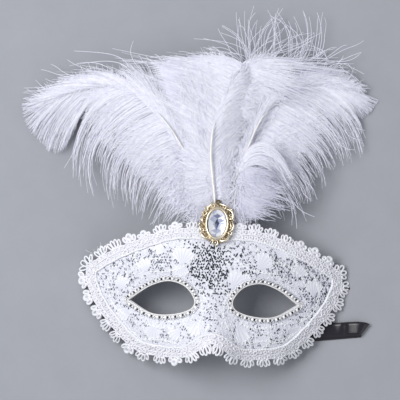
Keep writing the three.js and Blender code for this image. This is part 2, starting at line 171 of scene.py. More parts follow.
@dataclass(frozen=True)
class FaceForm:
    """The moulded shell's outer face: a wrap round the head, a profile, a nose and humps."""

    half_width: float = 87.5
    wrap_depth: float = 34
    wrap_power: float = 2.2
    temple_y: float = 15
    cheek_taper: float = 0.0075
    brow_line_y: float = 10
    profile_radius: float = 220
    nose_top: float = 8
    nose_length: float = 38
    nose_rise: float = 15
    nose_power: float = 1.3
    nose_end: float = 1.1  # share of its length at which the nose rises no more
    nose_half_top: float = 8
    nose_widens: float = 9
    humps: tuple = (  # brows, eye hollows and cheeks
        Hump(32, 24, 26, 9, 3), Hump(36, 1, 24, 12, -3.5), Hump(42, -24, 18, 10, 2.5),
    )

    def height(self, x: Array, y: Array) -> Array:
        """Height of the face over the point between the eyes.

        Args:
            x: Places across the face.
            y: Places up the face.

        Returns:
            One height for each place.
        """
        below = np.maximum(0, self.temple_y - y)
        half = self.half_width - self.cheek_taper * below**2
        wrap = self.wrap_depth * (np.abs(x) / half) ** self.wrap_power
        profile = (y - self.brow_line_y) ** 2 / (2 * self.profile_radius)
        down = np.maximum(0, (self.nose_top - y) / self.nose_length)
        nose_half = self.nose_half_top + self.nose_widens * np.clip(down, 0, 1)
        ridge = self.nose_rise * np.minimum(down, self.nose_end) ** self.nose_power
        nose = ridge * np.exp(-((x / nose_half) ** 2))
        return nose + sum(hump.at(x, y) for hump in self.humps) - wrap - profile

    def normal(self, x: Array, y: Array) -> Array:
        """Unit vectors square to the face.

        Args:
            x: Places across the face.
            y: Places up the face.

        Returns:
            One vector for each place.
        """
        step = 0.05
        slope_x = (self.height(x + step, y) - self.height(x - step, y)) / (2 * step)
        slope_y = (self.height(x, y + step) - self.height(x, y - step)) / (2 * step)
        return unit(np.stack([-slope_x, -slope_y, np.ones_like(slope_x)], axis=-1))

    def point(self, plan: Array, lift: Array | float) -> Array:
        """Points over places of the face, X and Y on their last axis, lifted square to it."""
        x, y = np.moveaxis(np.asarray(plan, float), -1, 0)
        return np.stack([x, y, self.height(x, y)], -1) + self.normal(x, y) * np.asarray(lift)[..., None]

    def spot(self, x: float, y: float) -> float:
        """Height of the face at one place."""
        return float(self.height(np.array(x), np.array(y)))


FACE = FaceForm()


class RimLine:
    """A closed line on the face with a place, out of it or in, for every thread."""

    def __init__(self, points: Array, smoothing: int) -> None:
        """Keeps the line and its smoothed normals.

        Args:
            points: Plan points, clockwise, the last not repeating the first.
            smoothing: Over how many points the normals are averaged.
        """
        self.points = points
        ahead = np.roll(points, -1, axis=0) - np.roll(points, 1, axis=0)
        outward = unit(np.stack([-ahead[:, 1], ahead[:, 0]], axis=1))
        spread = range(-smoothing, smoothing + 1)
        self.normals = unit(sum(np.roll(outward, shift, axis=0) for shift in spread))
        steps = np.linalg.norm(np.roll(points, -1, axis=0) - points, axis=1)
        self.length = float(steps.sum())

    def runs(self, count: int) -> Array:
        """Even distances along the whole line."""
        return np.linspace(0, self.length, count, endpoint=False)

    def plan(self, run: Array, out: Array | float) -> Array:
        """Plan points beside the line.

        Args:
            run: Distances along the line.
            out: Distances out of it.

        Returns:
            The points, X and Y on the last axis.
        """
        count = len(self.points)
        place = (np.asarray(run, float) / self.length % 1.0) * count
        low = place.astype(int) % count
        share = (place - np.floor(place))[..., None]
        high = (low + 1) % count
        base = self.points[low] * (1 - share) + self.points[high] * share
        normal = unit(self.normals[low] * (1 - share) + self.normals[high] * share)
        return base + normal * np.asarray(out, float)[..., None]

    def place(self, run: Array, out: Array | float, lift: Array | float) -> Array:
        """The same in space, at a height over the face."""
        return FACE.point(self.plan(run, out), lift)

    def ribbon(self, run: Array, out: Array, lift: Array) -> Array:
        """A closed band along the line, in rows of points from the outside in."""
        band = self.place(run[:, None] + 0 * out, out[None] + 0 * run[:, None], lift + 0 * run[:, None])
        return np.concatenate([band, band[:1]])[:, ::-1]


def whole_rim(steps: int) -> Array:
    """The shell's rim, clockwise from the middle of the forehead."""
    left = [(-x, y) for x, y in RIM[-2:0:-1]]
    return smooth_curve(RIM + left, steps, closed=True)[:-1]


# Finishes


def linear(colour: str) -> tuple[float, float, float, float]:
    """An sRGB hex colour, such as "#f4f4f7", as linear red, green and blue, and alpha."""
    shares = [int(colour[i:i + 2], 16) / 255 for i in (1, 3, 5)]
    return (*[s / 12.92 if s <= 0.04045 else ((s + 0.055) / 1.055) ** 2.4 for s in shares], 1.0)


def add_node(tree: bpy.types.NodeTree, kind: str, settings: dict | None = None,
             values: dict | None = None, links: dict | None = None) -> bpy.types.Node:
    """Adds a node with its settings, its inputs' values and its links.

    Args:
        tree: The material's nodes.
        kind: The node's type.
        settings: Its properties by name.
        values: Inputs' values by name or number.
        links: The outputs that feed its inputs, likewise.

    Returns:
        The node.
    """
    node = tree.nodes.new(kind)
    for name, value in (settings or {}).items():
        setattr(node, name, value)
    for name, value in (values or {}).items():
        node.inputs[name].default_value = value
    for name, output in (links or {}).items():
        tree.links.new(output, node.inputs[name])
    return node


@dataclass(frozen=True)
class Finish:
    """A material with one shader."""

    name: str

    def make(self) -> bpy.types.Material:
        """Makes the material, with the shader that this kind of finish builds.

        Returns:
            The material.
        """
        material = bpy.data.materials.new(self.name)
        material.use_nodes = True
        tree = material.node_tree
        tree.nodes.clear()
        shader = self.shader(tree)
        add_node(tree, "ShaderNodeOutputMaterial", links={"Surface": shader.outputs[0]})
        return material


@dataclass(frozen=True)
class PlainFinish(Finish):
    """A finish with a grain: two close colours mottled by noise, and a bump of the same size.

    Thread, grit and mould ripple finer than about half a millimetre wouldn't show in the
    render, so such a grain is drawn as coarse as grain_mm says.
    """

    light: str
    dark: str
    roughness: float
    grain_mm: float
    metallic: float = 0
    bump_mm: float = 0.02
    sheen: float = 0
    coat: float = 0
    specular: float = 0.5
    anisotropic: float = 0
    tone_dark: str = ""  # where a form's tone is 0, if it has tones
    stretch: tuple = (1.0, 1.0, 1.0)

    def shader(self, tree: bpy.types.NodeTree) -> bpy.types.Node:
        """Builds the shader and its texture.

        Args:
            tree: The material's nodes.

        Returns:
            The shader.
        """
        place = add_node(tree, "ShaderNodeTexCoord").outputs["Object"]
        place = add_node(
            tree, "ShaderNodeMapping", values={"Scale": self.stretch}, links={"Vector": place}).outputs[0]
        grain = add_node(
            tree, "ShaderNodeTexNoise",
            values={"Scale": 1 / (self.grain_mm * MM), "Detail": 3.0, "Roughness": 0.6},
            links={"Vector": place}).outputs["Fac"]
        mottle = add_node(
            tree, "ShaderNodeMapRange", values={"From Min": 0.3, "From Max": 0.7},
            links={"Value": grain}).outputs[0]
        colour = add_node(
            tree, "ShaderNodeMix", {"data_type": "RGBA"}, {6: linear(self.dark), 7: linear(self.light)},
            {0: mottle}).outputs[2]
        # Where a form has tones it is tinted towards tone_dark: painted shade on the petals, the lace's
        # grounds and the plumes, and a random spread of tint on the lace's rings and loops
        if self.tone_dark:
            tone = add_node(tree, "ShaderNodeAttribute", {"attribute_name": "tone"}).outputs["Fac"]
            colour = add_node(tree, "ShaderNodeMix", {"data_type": "RGBA"},
                              {6: linear(self.tone_dark)}, {0: tone, 7: colour}).outputs[2]
        bump = add_node(tree, "ShaderNodeBump", values={"Strength": 0.6, "Distance": self.bump_mm * MM},
                        links={"Height": grain}).outputs[0]
        return add_node(
            tree, "ShaderNodeBsdfPrincipled",
            values={"Roughness": self.roughness, "Metallic": self.metallic,
                    "Sheen Weight": self.sheen, "Coat Weight": self.coat,
                    "Specular IOR Level": self.specular, "Anisotropic": self.anisotropic},
            links={"Base Color": colour, "Normal": bump})


@dataclass(frozen=True)
class CutGlass(Finish):
    """A clear cut stone, see-through by plain values."""

    colour: str
    roughness: float
    ior: float
    alpha: float

    def shader(self, tree: bpy.types.NodeTree) -> bpy.types.Node:
        """Builds the shader."""
        values = {"Base Color": linear(self.colour), "Roughness": self.roughness, "IOR": self.ior}
        return add_node(tree, "ShaderNodeBsdfPrincipled",
                        values=values | {"Transmission Weight": 1.0, "Alpha": self.alpha})


# Vacuum-formed polystyrene: smooth, faintly waxy, with the slight ripple of the mould
SHELL_PLASTIC = PlainFinish("vacuum_formed_polystyrene", "#f0f0f3", "#e6e6ea", 0.42, 6.0, bump_mm=0.08)
# Tulle net with a silver thread: white with a grey shimmer between its meshes
SILVER_NET = PlainFinish("silver_threaded_tulle", "#f4f5fa", "#c3c5d3", 0.5, 1.2, bump_mm=0.3, sheen=0.3)
# Lurex threads of the net: white with a wet-looking shine
LUREX = PlainFinish("white_lurex_thread", "#ffffff", "#eeeff6", 0.28, 0.8)
# Painted shade: silver backing deep in the net's open holes, near black, with a dull metal gleam
NET_SHADE = PlainFinish("silver_backing_unlit", "#3a3c4c", "#191a24", 0.35, 0.9, metallic=0.4)
# The same backing where some light gets in: a mid grey that reads as a shallower hole
NET_HALF_SHADE = PlainFinish("silver_backing_half_lit", "#888b9f", "#5a5d70", 0.35, 0.9, metallic=0.4)
# Satin-stitched petals: dense polyester thread, smooth and softly shining. Their tone_dark is painted shade,
# towards each petal's foot and between its ribs
PETAL_SATIN = PlainFinish(
    "satin_stitched_polyester", "#fafafe", "#eeeff6", 0.45, 0.9, bump_mm=0.08, sheen=0.3,
    tone_dark="#c9cbda")
# Guipure lace: bleached cotton thread, dull white and slightly fuzzy. Its tone_dark is painted shade on the
# band's ground and inside the worked loops
LACE_COTTON = PlainFinish(
    "bleached_cotton_guipure", "#fbfbfd", "#e2e2ea", 0.75, 0.7, bump_mm=0.12, sheen=0.4, tone_dark="#c4c5cf")
# Lurex gimp: silver-grey wound thread with small glints
SILVER_GIMP = PlainFinish("lurex_gimp", "#fafafa", "#cfcfd2", 0.35, 0.6, metallic=0.1, bump_mm=0.08)
# Gimp cord wound with rayon: a smooth, faintly warm white that lines the eye hole
GIMP_CORD = PlainFinish("rayon_gimp_cord", "#fbfaf8", "#ecebe8", 0.4, 0.9, bump_mm=0.05, sheen=0.3)
# Pressed opaque glass beads: plain white with one sharp highlight each
BEAD_GLASS = PlainFinish("opaque_white_glass_bead", "#ffffff", "#f2f2f6", 0.12, 0.8, bump_mm=0.01, coat=0.5)
# Silvered cups painted near black as a painted reflection of dark surroundings: dark dots between the beads
# that glint as they turn
BEAD_CUP = PlainFinish("silver_cup_painted_reflection", "#2a2a30", "#101014", 0.25, 0.7, metallic=0.5)
# Woven polyester satin, black: floats one way give a long soft glint
BLACK_SATIN = PlainFinish(
    "black_polyester_satin", "#1b1824", "#0d0b13", 0.3, 0.8, bump_mm=0.03, sheen=0.25, anisotropic=0.6,
    stretch=(1.0, 8.0, 1.0))
# Bleached down: matt white; its tone_dark is painted shade, a cool cast where its own barbs shade it
PLUME_DOWN = PlainFinish(
    "bleached_ostrich_down", "#f6f6fd", "#e9e9f6", 0.85, 2.5, sheen=0.5, specular=0.2, tone_dark="#b4b5cc")
# Bleached quill: horny, ivory-white and a little glossy
QUILL_HORN = PlainFinish("bleached_quill", "#fbfaf6", "#e9e7e0", 0.35, 3.0)
# Gold-plated zinc casting: warm yellow metal, polished on its high places
GOLD_PLATE = PlainFinish("gold_plated_zinc", "#f7edda", "#e7d8b8", 0.3, 1.5, metallic=1.0, bump_mm=0.04)
# The same casting in its hollows, unpolished, with painted shade: a brown-gold that sets off the scrolls
GOLD_PAINTED_SHADE = PlainFinish(
    "gold_plated_zinc_painted_shade", "#8c7a52", "#4c4026", 0.45, 1.2, metallic=1.0, bump_mm=0.08)
# Painted reflections on the mirror foil behind the stone: each facet shows a bright, pale blue, blue-grey or
# dark surrounding
STONE_FOILS = [
    PlainFinish(f"stone_foil_painted_reflection_{name}", light, dark, 0.25, 4.0, bump_mm=0.0, metallic=0.3)
    for name, light, dark in (("bright", "#fdfdff", "#f2f5fb"), ("sky", "#c6cbe0", "#b7bdd4"),
                              ("dusk", "#868cab", "#777d9c"), ("dark", "#4b4e66", "#3d4058"))
]
# Cut and fire-polished lead glass: clear, with sharp reflections at its facets
STONE_GLASS = CutGlass("cut_lead_glass", "#f4f8ff", 0.02, 1.58, 0.35)
# Backdrop paper: matt pale grey that takes soft shadows
FLOOR_PAPER = PlainFinish("pale_grey_backdrop_paper", "#a0a2a8", "#9c9ea4", 0.9, 30.0, bump_mm=0.0)


# Meshes


class Forms:
    """Gathers many small forms, each with its own finish, into one mesh."""

    def __init__(self) -> None:
        """Starts empty."""
        self.points: list[Array] = []
        self.tones: list[Array] = []
        self.faces: list[list[int]] = []
        self.finishes: list[tuple] = []  # each with how many faces have it
        self.size = 0

    def add(self, points: Array, faces: Array, finish: PlainFinish | None = None,
            tone: Array | float = 1.0) -> None:
        """Adds a form.

        Args:
            points: Its vertices.
            faces: Their numbers in its faces, all of one size.
            finish: Its finish, or None for the object's first.
            tone: Tint of each vertex or of all, 0 to 1.
        """
        flat = np.asarray(points, float).reshape(-1, 3)
        tints = np.asarray(tone, float).reshape(-1)
        self.points.append(flat)
        self.tones.append(np.broadcast_to(tints, (len(flat),)))
        self.faces.extend((np.asarray(faces) + self.size).tolist())
        self.finishes.append((finish, len(faces)))
        self.size += len(flat)

    def grid(self, points: Array, finish: PlainFinish | None = None,
             tone: Array | float = 1.0, closed: bool = False, ring: bool = False) -> None:
        """Adds a net of quads over a grid of points.

        Args:
            points: Rows by columns by 3, or several such nets.
            finish: Its finish.
            tone: Its tint.
            closed: Whether its columns go round.
            ring: Whether its rows go round.
        """
        index = np.arange(points[..., 0].size).reshape(points.shape[:-1])
        if ring:
            index = np.concatenate([index, index[:1]])
        if closed:
            index = np.concatenate([index, index[:, :1]], axis=1)
        low, high = index[..., :-1, :], index[..., 1:, :]
        quads = np.stack([low[..., :-1], low[..., 1:], high[..., 1:], high[..., :-1]], axis=-1)
        self.add(points, quads.reshape(-1, 4), finish, tone)

    def tube(self, path: Array, radius: Array | float, sides: int = 6,
             closed: bool = False, finish: PlainFinish | None = None, flat: float = 1,
             tone: float = 1) -> None:
        """Adds a thread or wire along a path.

        Args:
            path: Its middle line.
            radius: Its radius, or one for each point.
            sides: Its number of sides.
            closed: Whether it joins its own start.
            finish: Its finish.
            flat: Height as a share of width.
            tone: Its tint.
        """
        steep = 0.95  # share of a step that climbs, past which another axis is taken across
        path = np.asarray(path, float)
        if closed:
            ahead = np.roll(path, -1, axis=0) - np.roll(path, 1, axis=0)
        else:
            ahead = np.gradient(path, axis=0)
        ahead = unit(ahead)
        upright = np.abs(ahead @ UP) > steep
        across = np.cross(UP, ahead)
        across[upright] = np.cross([0, 1, 0], ahead[upright])
        across = unit(across)
        over = np.cross(ahead, across)
        angle = round_turn(sides)[:, None]
        ring = across[:, None] * np.cos(angle) + over[:, None] * np.sin(angle) * flat
        radius = np.broadcast_to(np.asarray(radius, float), (len(path),))
        points = path[:, None] + ring * radius[:, None, None]
        self.grid(points, finish, tone, closed=True, ring=closed)
        if closed:
            return
        turn = np.arange(sides)
        cap = np.stack([np.full(sides, sides), (turn + 1) % sides, turn], axis=1)
        for end, centre in ((points[0], path[0]), (points[-1][::-1], path[-1])):
            self.add(np.concatenate([end, centre[None]]), cap, finish, tone)

    def strands(self, paths: Array, halves: Array, across: Array, tone: Array | float = 1.0) -> None:
        """Adds many flat strands at once.

        Args:
            paths: Middle lines, strands by steps by 3.
            halves: Half widths.
            across: Unit vectors along the width.
            tone: Their tint.
        """
        aside = across * halves[..., None]
        tones = np.broadcast_to(np.asarray(tone)[..., None], (*halves.shape, 2))
        self.grid(np.stack([paths - aside, paths + aside], axis=2), tone=tones)

    def copies(self, shape: tuple, turns: Array, places: Array, finish: PlainFinish | None = None) -> None:
        """Adds a small form many times.

        Args:
            shape: Its vertices and faces.
            turns: A 3 by 3 matrix for each copy.
            places: Where each goes.
            finish: Their finish.
        """
        points, faces = shape
        spots = np.einsum("nij,vj->nvi", turns, points) + places[:, None]
        numbers = np.asarray(faces)[None] + (np.arange(len(places)) * len(points))[:, None, None]
        self.add(spots, numbers.reshape(-1, len(faces[0])), finish)

    def on_face(self, shape: tuple, plan: Array, angle: Array, sizes: Array,
                lift: float, finish: PlainFinish | None = None) -> None:
        """Lays a small form on the face many times.

        Args:
            shape: Its vertices and faces.
            plan: Where each copy goes.
            angle: The direction of each one's length, in plan.
            sizes: Length, width and height of each.
            lift: Their height over the face.
            finish: Their finish.
        """
        normal = FACE.normal(plan[:, 0], plan[:, 1])
        ahead = np.stack([np.cos(angle), np.sin(angle), np.zeros_like(angle)], axis=1)
        ahead = unit(ahead - normal * (ahead * normal).sum(axis=1, keepdims=True))
        turns = np.stack([ahead, np.cross(normal, ahead), normal], axis=2) * sizes[:, None, :]
        self.copies(shape, turns, FACE.point(plan, lift), finish)

    def keep(self, name: str, finishes: list, slot: Slot, *nodes: str, smooth: bool = True,
             frame: Matrix | None = None) -> bpy.types.Object:
        """Makes a piece of the mask, in metres in the part's frame.

        Args:
            name: Its name.
            finishes: Its finishes, the one of forms that name none first.
            slot: Its slot; not used.
            nodes: The solids it stands for.
            smooth: Whether it's shaded smoothly.
            frame: Where the forms' own frame lies, if it isn't the mask's.

        Returns:
            The object.
        """
        lowest = 0.05  # over the table, so that nothing sinks in
        points = np.concatenate(self.points)
        if frame is not None:
            turn = np.array(frame)
            points = points @ turn[:3, :3].T + turn[:3, 3]
        points = points + BETWEEN_EYES
        points[:, 2] = np.maximum(points[:, 2], lowest)
        mesh = bpy.data.meshes.new(name)
        mesh.from_pydata((points * MM).tolist(), [], self.faces)
        numbers = {None: 0} | {finish: number for number, finish in enumerate(finishes)}
        marks = [np.full(count, numbers[finish], np.int32) for finish, count in self.finishes]
        mesh.polygons.foreach_set("material_index", np.concatenate(marks))
        mesh.polygons.foreach_set("use_smooth", np.full(len(mesh.polygons), smooth))
        tone = mesh.attributes.new("tone", "FLOAT", "POINT")
        tone.data.foreach_set("value", np.concatenate(self.tones).astype(np.float32))
        mesh.update()
        for finish in finishes:
            mesh.materials.append(finish.make())
        piece = bpy.data.objects.new(name, mesh)
        bpy.context.scene.collection.objects.link(piece)
        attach(piece, "root")
        if nodes:
            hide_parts(*nodes)
        LOG.info("%s: %d faces", piece.name, len(piece.data.polygons))
        return piece


def ball(rings: int, sides: int) -> tuple[Array, Array]:
    """A small ball of radius 1.

    Args:
        rings: Its steps from pole to pole.
        sides: Its steps round.

    Returns:
        Its points and triangles.
    """
    points = [(0.0, 0.0, 1.0)]
    for i in range(1, rings):
        polar = math.pi * i / rings
        for k in range(sides):
            turn = FULL_TURN * (k + 0.5 * (i % 2)) / sides
            points.append(
                (math.sin(polar) * math.cos(turn), math.sin(polar) * math.sin(turn), math.cos(polar)))
    points.append((0.0, 0.0, -1.0))
    last = len(points) - 1
    faces = []
    for k in range(sides):
        after = (k + 1) % sides
        faces.append((0, 1 + k, 1 + after))
        for i in range(rings - 2):
            a, b = 1 + i * sides, 1 + (i + 1) * sides
            faces += [(a + k, b + k, b + after), (a + k, b + after, a + after)]
        base = 1 + (rings - 2) * sides
        faces.append((last, base + after, base + k))
    return np.array(points), np.array(faces)


SEED_BEAD = ball(3, 6)  # for what is hardly a pixel wide
ROUND_BEAD = ball(5, 8)
FINE_BEAD = ball(6, 10)


@dataclass
class Piece:
    """A sub-assembly in the making."""

    seed: int = field(default=0, kw_only=True)

    def __post_init__(self) -> None:
        """Starts with no forms and with its own random numbers."""
        self.forms = Forms()
        self.rng = np.random.default_rng(self.seed)


# Shell and lace cloth


@dataclass
class MaskSkin:
    """A surface over the whole mask, open at both eyes, in rows from the eye holes to the rim."""

    rim_steps: int = 150
    middle_steps: int = 44
    rows: int = 40
    crowding: float = 1.15  # how much closer the rows lie towards the rim
    thickness: float = 1.2
    cloth_lift: float = 0.8
    hem_lift: float = 0.25  # of the cloth's edges, turned under
    ripple: float = 0.1

    def half_plan(self) -> Array:
        """Plan points of the right half.

        Returns:
            Rays round the eye, each from the eye hole out to the rim or the middle line.
        """
        slack = 1e-6  # for a ray that meets the eye hole's edge at one of its points
        rim = whole_rim(2 * self.rim_steps)[: self.rim_steps + 1]
        rim[0, 0] = rim[-1, 0] = 0.0
        middle_y = np.linspace(rim[-1, 1], rim[0, 1], self.middle_steps + 1)[1:-1]
        outer = np.concatenate([rim, np.stack([np.zeros_like(middle_y), middle_y], axis=1)])
        eye = smooth_curve(EYE, 480)
        angle = np.arctan2(outer[:, 1] - EYE_CENTRE[1], outer[:, 0] - EYE_CENTRE[0])
        corner = math.atan2(EYE[0][1] - EYE_CENTRE[1], EYE[0][0] - EYE_CENTRE[0])
        nearest = int(np.argmin(np.abs(angle - corner)))
        angle[nearest] = corner
        start, run = eye[:-1] - EYE_CENTRE, np.diff(eye, axis=0)
        inner = np.empty_like(outer)
        for place, ahead in zip(inner, heading(angle)):
            cross = ahead[0] * run[:, 1] - ahead[1] * run[:, 0]
            cross = np.where(np.abs(cross) < TINY, TINY, cross)
            reach = (start[:, 0] * run[:, 1] - start[:, 1] * run[:, 0]) / cross
            share = (start[:, 0] * ahead[1] - start[:, 1] * ahead[0]) / cross
            hit = reach[(reach > 0) & (share >= -slack) & (share <= 1 + slack)]
            place[:] = EYE_CENTRE + ahead * hit.max()
        share = 1 - (1 - np.linspace(0, 1, self.rows + 1)) ** self.crowding
        return inner[:, None] + (outer - inner)[:, None] * share[None, :, None]

    def shell(self) -> None:
        """The moulded shell, with both faces and its edges."""
        forms = Forms()
        plan = self.half_plan()
        for hand in (Hand.RIGHT, Hand.LEFT):
            flipped = plan * np.array([hand.value, 1])
            outside, middle, inside = (
                FACE.point(flipped, -self.thickness * depth) for depth in (0.0, 0.5, 1.0))
            loop = np.concatenate([outside, middle[:, -1:], inside[:, ::-1], middle[:, :1]], axis=1)
            forms.grid(loop[: self.rim_steps + 1], closed=True)
            edge = np.stack([inside[:, 0], middle[:, 0], outside[:, 0]], axis=1)
            nets = (outside, inside[:, ::-1], edge)
            for net in nets:
                forms.grid(net[self.rim_steps:])
            for net in nets:
                forms.grid(np.concatenate([net[-1:], net[:1]]))
        forms.keep("shell_moulding", [SHELL_PLASTIC], Slot.SHELL, "mask_shell")

    def cloth(self) -> None:
        """The net cloth over the shell, turned under at the eyes and at the rim."""
        forms = Forms()
        plan = self.half_plan()
        for hand in (Hand.RIGHT, Hand.LEFT):
            flipped = plan * np.array([hand.value, 1])
            x, y = flipped[..., 0], flipped[..., 1]
            # Small puckers about 3 mm long, askew to each other, from stretching the net
            pucker = self.ripple * np.sin(x * 1.9 + 0.6 * np.sin(y * 0.8)) * np.sin(y * 1.7 + x * 0.35)
            top = FACE.point(flipped, self.cloth_lift + pucker)
            hems = [FACE.point(flipped[:, end], self.hem_lift) for end in (slice(1), slice(-1, None))]
            sheet = np.concatenate([hems[0], top, hems[1]], axis=1)
            forms.grid(np.concatenate([sheet, sheet[:1]]))
        made = forms.keep("foil_lace_cloth", [SILVER_NET], Slot.FOIL_LACE, "lace_cover")


@dataclass(frozen=True)
class Petal:
    """One satin-stitched fan: its foot, which way it opens, its length and half its spread."""

    x: float
    y: float
    heading: float
    length: float
    spread: float
    scallops: int = 5
    scallop_depth: float = 0.07
    mean_reach: float = 0.93
    rounding: float = 0.3  # how much shorter it is at its sides

    def plan(self, run: Array, turn: Array) -> Array:
        """Plan points on it.

        Args:
            run: Shares of the way out from its foot.
            turn: Shares of its half spread, -1 to 1.

        Returns:
            The points, X and Y on the last axis.
        """
        angle = np.radians(self.heading + self.spread * turn)
        scallop = self.mean_reach + self.scallop_depth * np.cos(turn * math.pi * self.scallops)
        reach = self.length * run * scallop * (1 - self.rounding * turn**4)
        return np.stack([self.x + reach * np.cos(angle), self.y + reach * np.sin(angle)], axis=-1)

    def covers(self, plan: Array) -> Array:
        """Whether plan points lie under it.

        Args:
            plan: The points.

        Returns:
            One truth value for each.
        """
        most = 0.95  # of its half spread
        away = plan - np.array([self.x, self.y])
        angle = np.degrees(np.arctan2(away[:, 1], away[:, 0])) - self.heading
        turn = np.abs((angle + 180) % 360 - 180) / self.spread
        reach = self.length * self.mean_reach * (1 - self.rounding * turn**4)
        return (turn < most) & (np.hypot(*away.T) < reach)


PETALS = (
    Petal(-23, 24, 82, 13, 52), Petal(-23, 24.5, -95, 8.5, 62), Petal(-66, 4, 78, 11, 42),
    Petal(-46, 18, 115, 10, 40), Petal(-33, 33, 165, 10, 36), Petal(30, 22, 58, 13, 46),
    Petal(12, 8, 62, 14, 42), Petal(16, 14, 20, 10, 30), Petal(69, 4, 84, 12, 44), Petal(57, 17, 55, 10, 40),
    Petal(41, 35, -8, 11, 36), Petal(16, -14, -66, 17, 22), Petal(52, -19, -15, 11, 38),
    Petal(31, -24, -30, 10, 36), Petal(-40, -18, 252, 11, 48), Petal(-9, -12, 250, 14, 28),
    Petal(-58, -8, 220, 10, 42), Petal(-21, -20, 215, 11, 38), Petal(70, -6, -62, 10, 38))


@dataclass
class PetalWork(Piece):
    """The satin petals on the net, and leafy stems between them."""

    seed: int = 11
    petal_grid: tuple = (20, 61)  # steps out and across
    petal_start: float = 0.06  # share of the way out at which a petal begins
    petal_lift: float = 0.8
    petal_dome: float = 0.2
    rib_rise: float = 0.09
    rib_pace: float = 0.42  # radians of rib for each degree of spread
    edge_radius: float = 0.24
    edge_lift: float = 1
    stem_radius: float = 0.3
    stem_lift: float = 0.98
    stem_shift: float = 1.2
    leaf: tuple = (0.95, 0.36, 0.3)  # half length, half width, half height
    leaf_turn: float = 0.8  # radians away from the stem
    leaf_reach: float = 0.9
    leaf_lift: float = 0.95
    stems: tuple = (
        ((12, 30), (22, 22), (32, 19), (44, 18)), ((36, 28), (48, 27), (58, 20), (64, 10)),
        ((70, 20), (74, 8), (70, -6), (60, -14)), ((16, -14), (26, -18), (38, -18), (50, -14)),
        ((52, 36), (56, 30), (53, 22)), ((12, 8), (6, 0), (5, -10), (9, -20)),
        ((22, -30), (34, -27), (48, -27), (58, -20)))

    def build(self) -> None:
        """The petals, ribbed, with a thread along their scalloped ends, and stems with leaves."""
        rows, columns = self.petal_grid
        run = np.linspace(self.petal_start, 1, rows)[:, None]
        turn = np.linspace(-1, 1, columns)[None]
        for petal in PETALS:
            ribs = np.cos(turn * petal.spread * self.rib_pace)
            plan = petal.plan(run, turn + 0 * run)
            edge = np.maximum(np.abs(turn), run)
            dome = self.petal_lift + self.petal_dome * (1 - edge**8)
            lift = dome + self.rib_rise * ribs * run * (1 - edge**6)
            # Painted shade: darker towards the petal's foot and in the hollows between its ribs
            tone = (0.35 + 0.65 * run) * (0.8 + 0.2 * ribs)
            self.forms.grid(FACE.point(plan, lift), tone=tone)
            self.forms.tube(FACE.point(plan[-1], self.edge_lift), self.edge_radius, 5, finish=LUREX)
        for hand in (Hand.RIGHT, Hand.LEFT):
            for stem in self.stems:
                path = smooth_curve(stem, 40) * np.array([hand.value, 1])
                path = path + self.rng.normal(0, self.stem_shift, 2)
                self.forms.tube(FACE.point(path, self.stem_lift), self.stem_radius, 5, finish=LUREX)
                buds = path[3:-2:3]
                step = path[4:-1:3] - buds
                for end in (1, -1):
                    angle = np.arctan2(step[:, 1], step[:, 0]) + end * self.leaf_turn
                    leaves = buds + heading(angle) * self.leaf_reach
                    sizes = np.tile(self.leaf, (len(leaves), 1))
                    self.forms.on_face(SEED_BEAD, leaves, angle, sizes, self.leaf_lift, LUREX)
        self.forms.keep("lace_petals", [PETAL_SATIN, LUREX], Slot.FOIL_LACE)


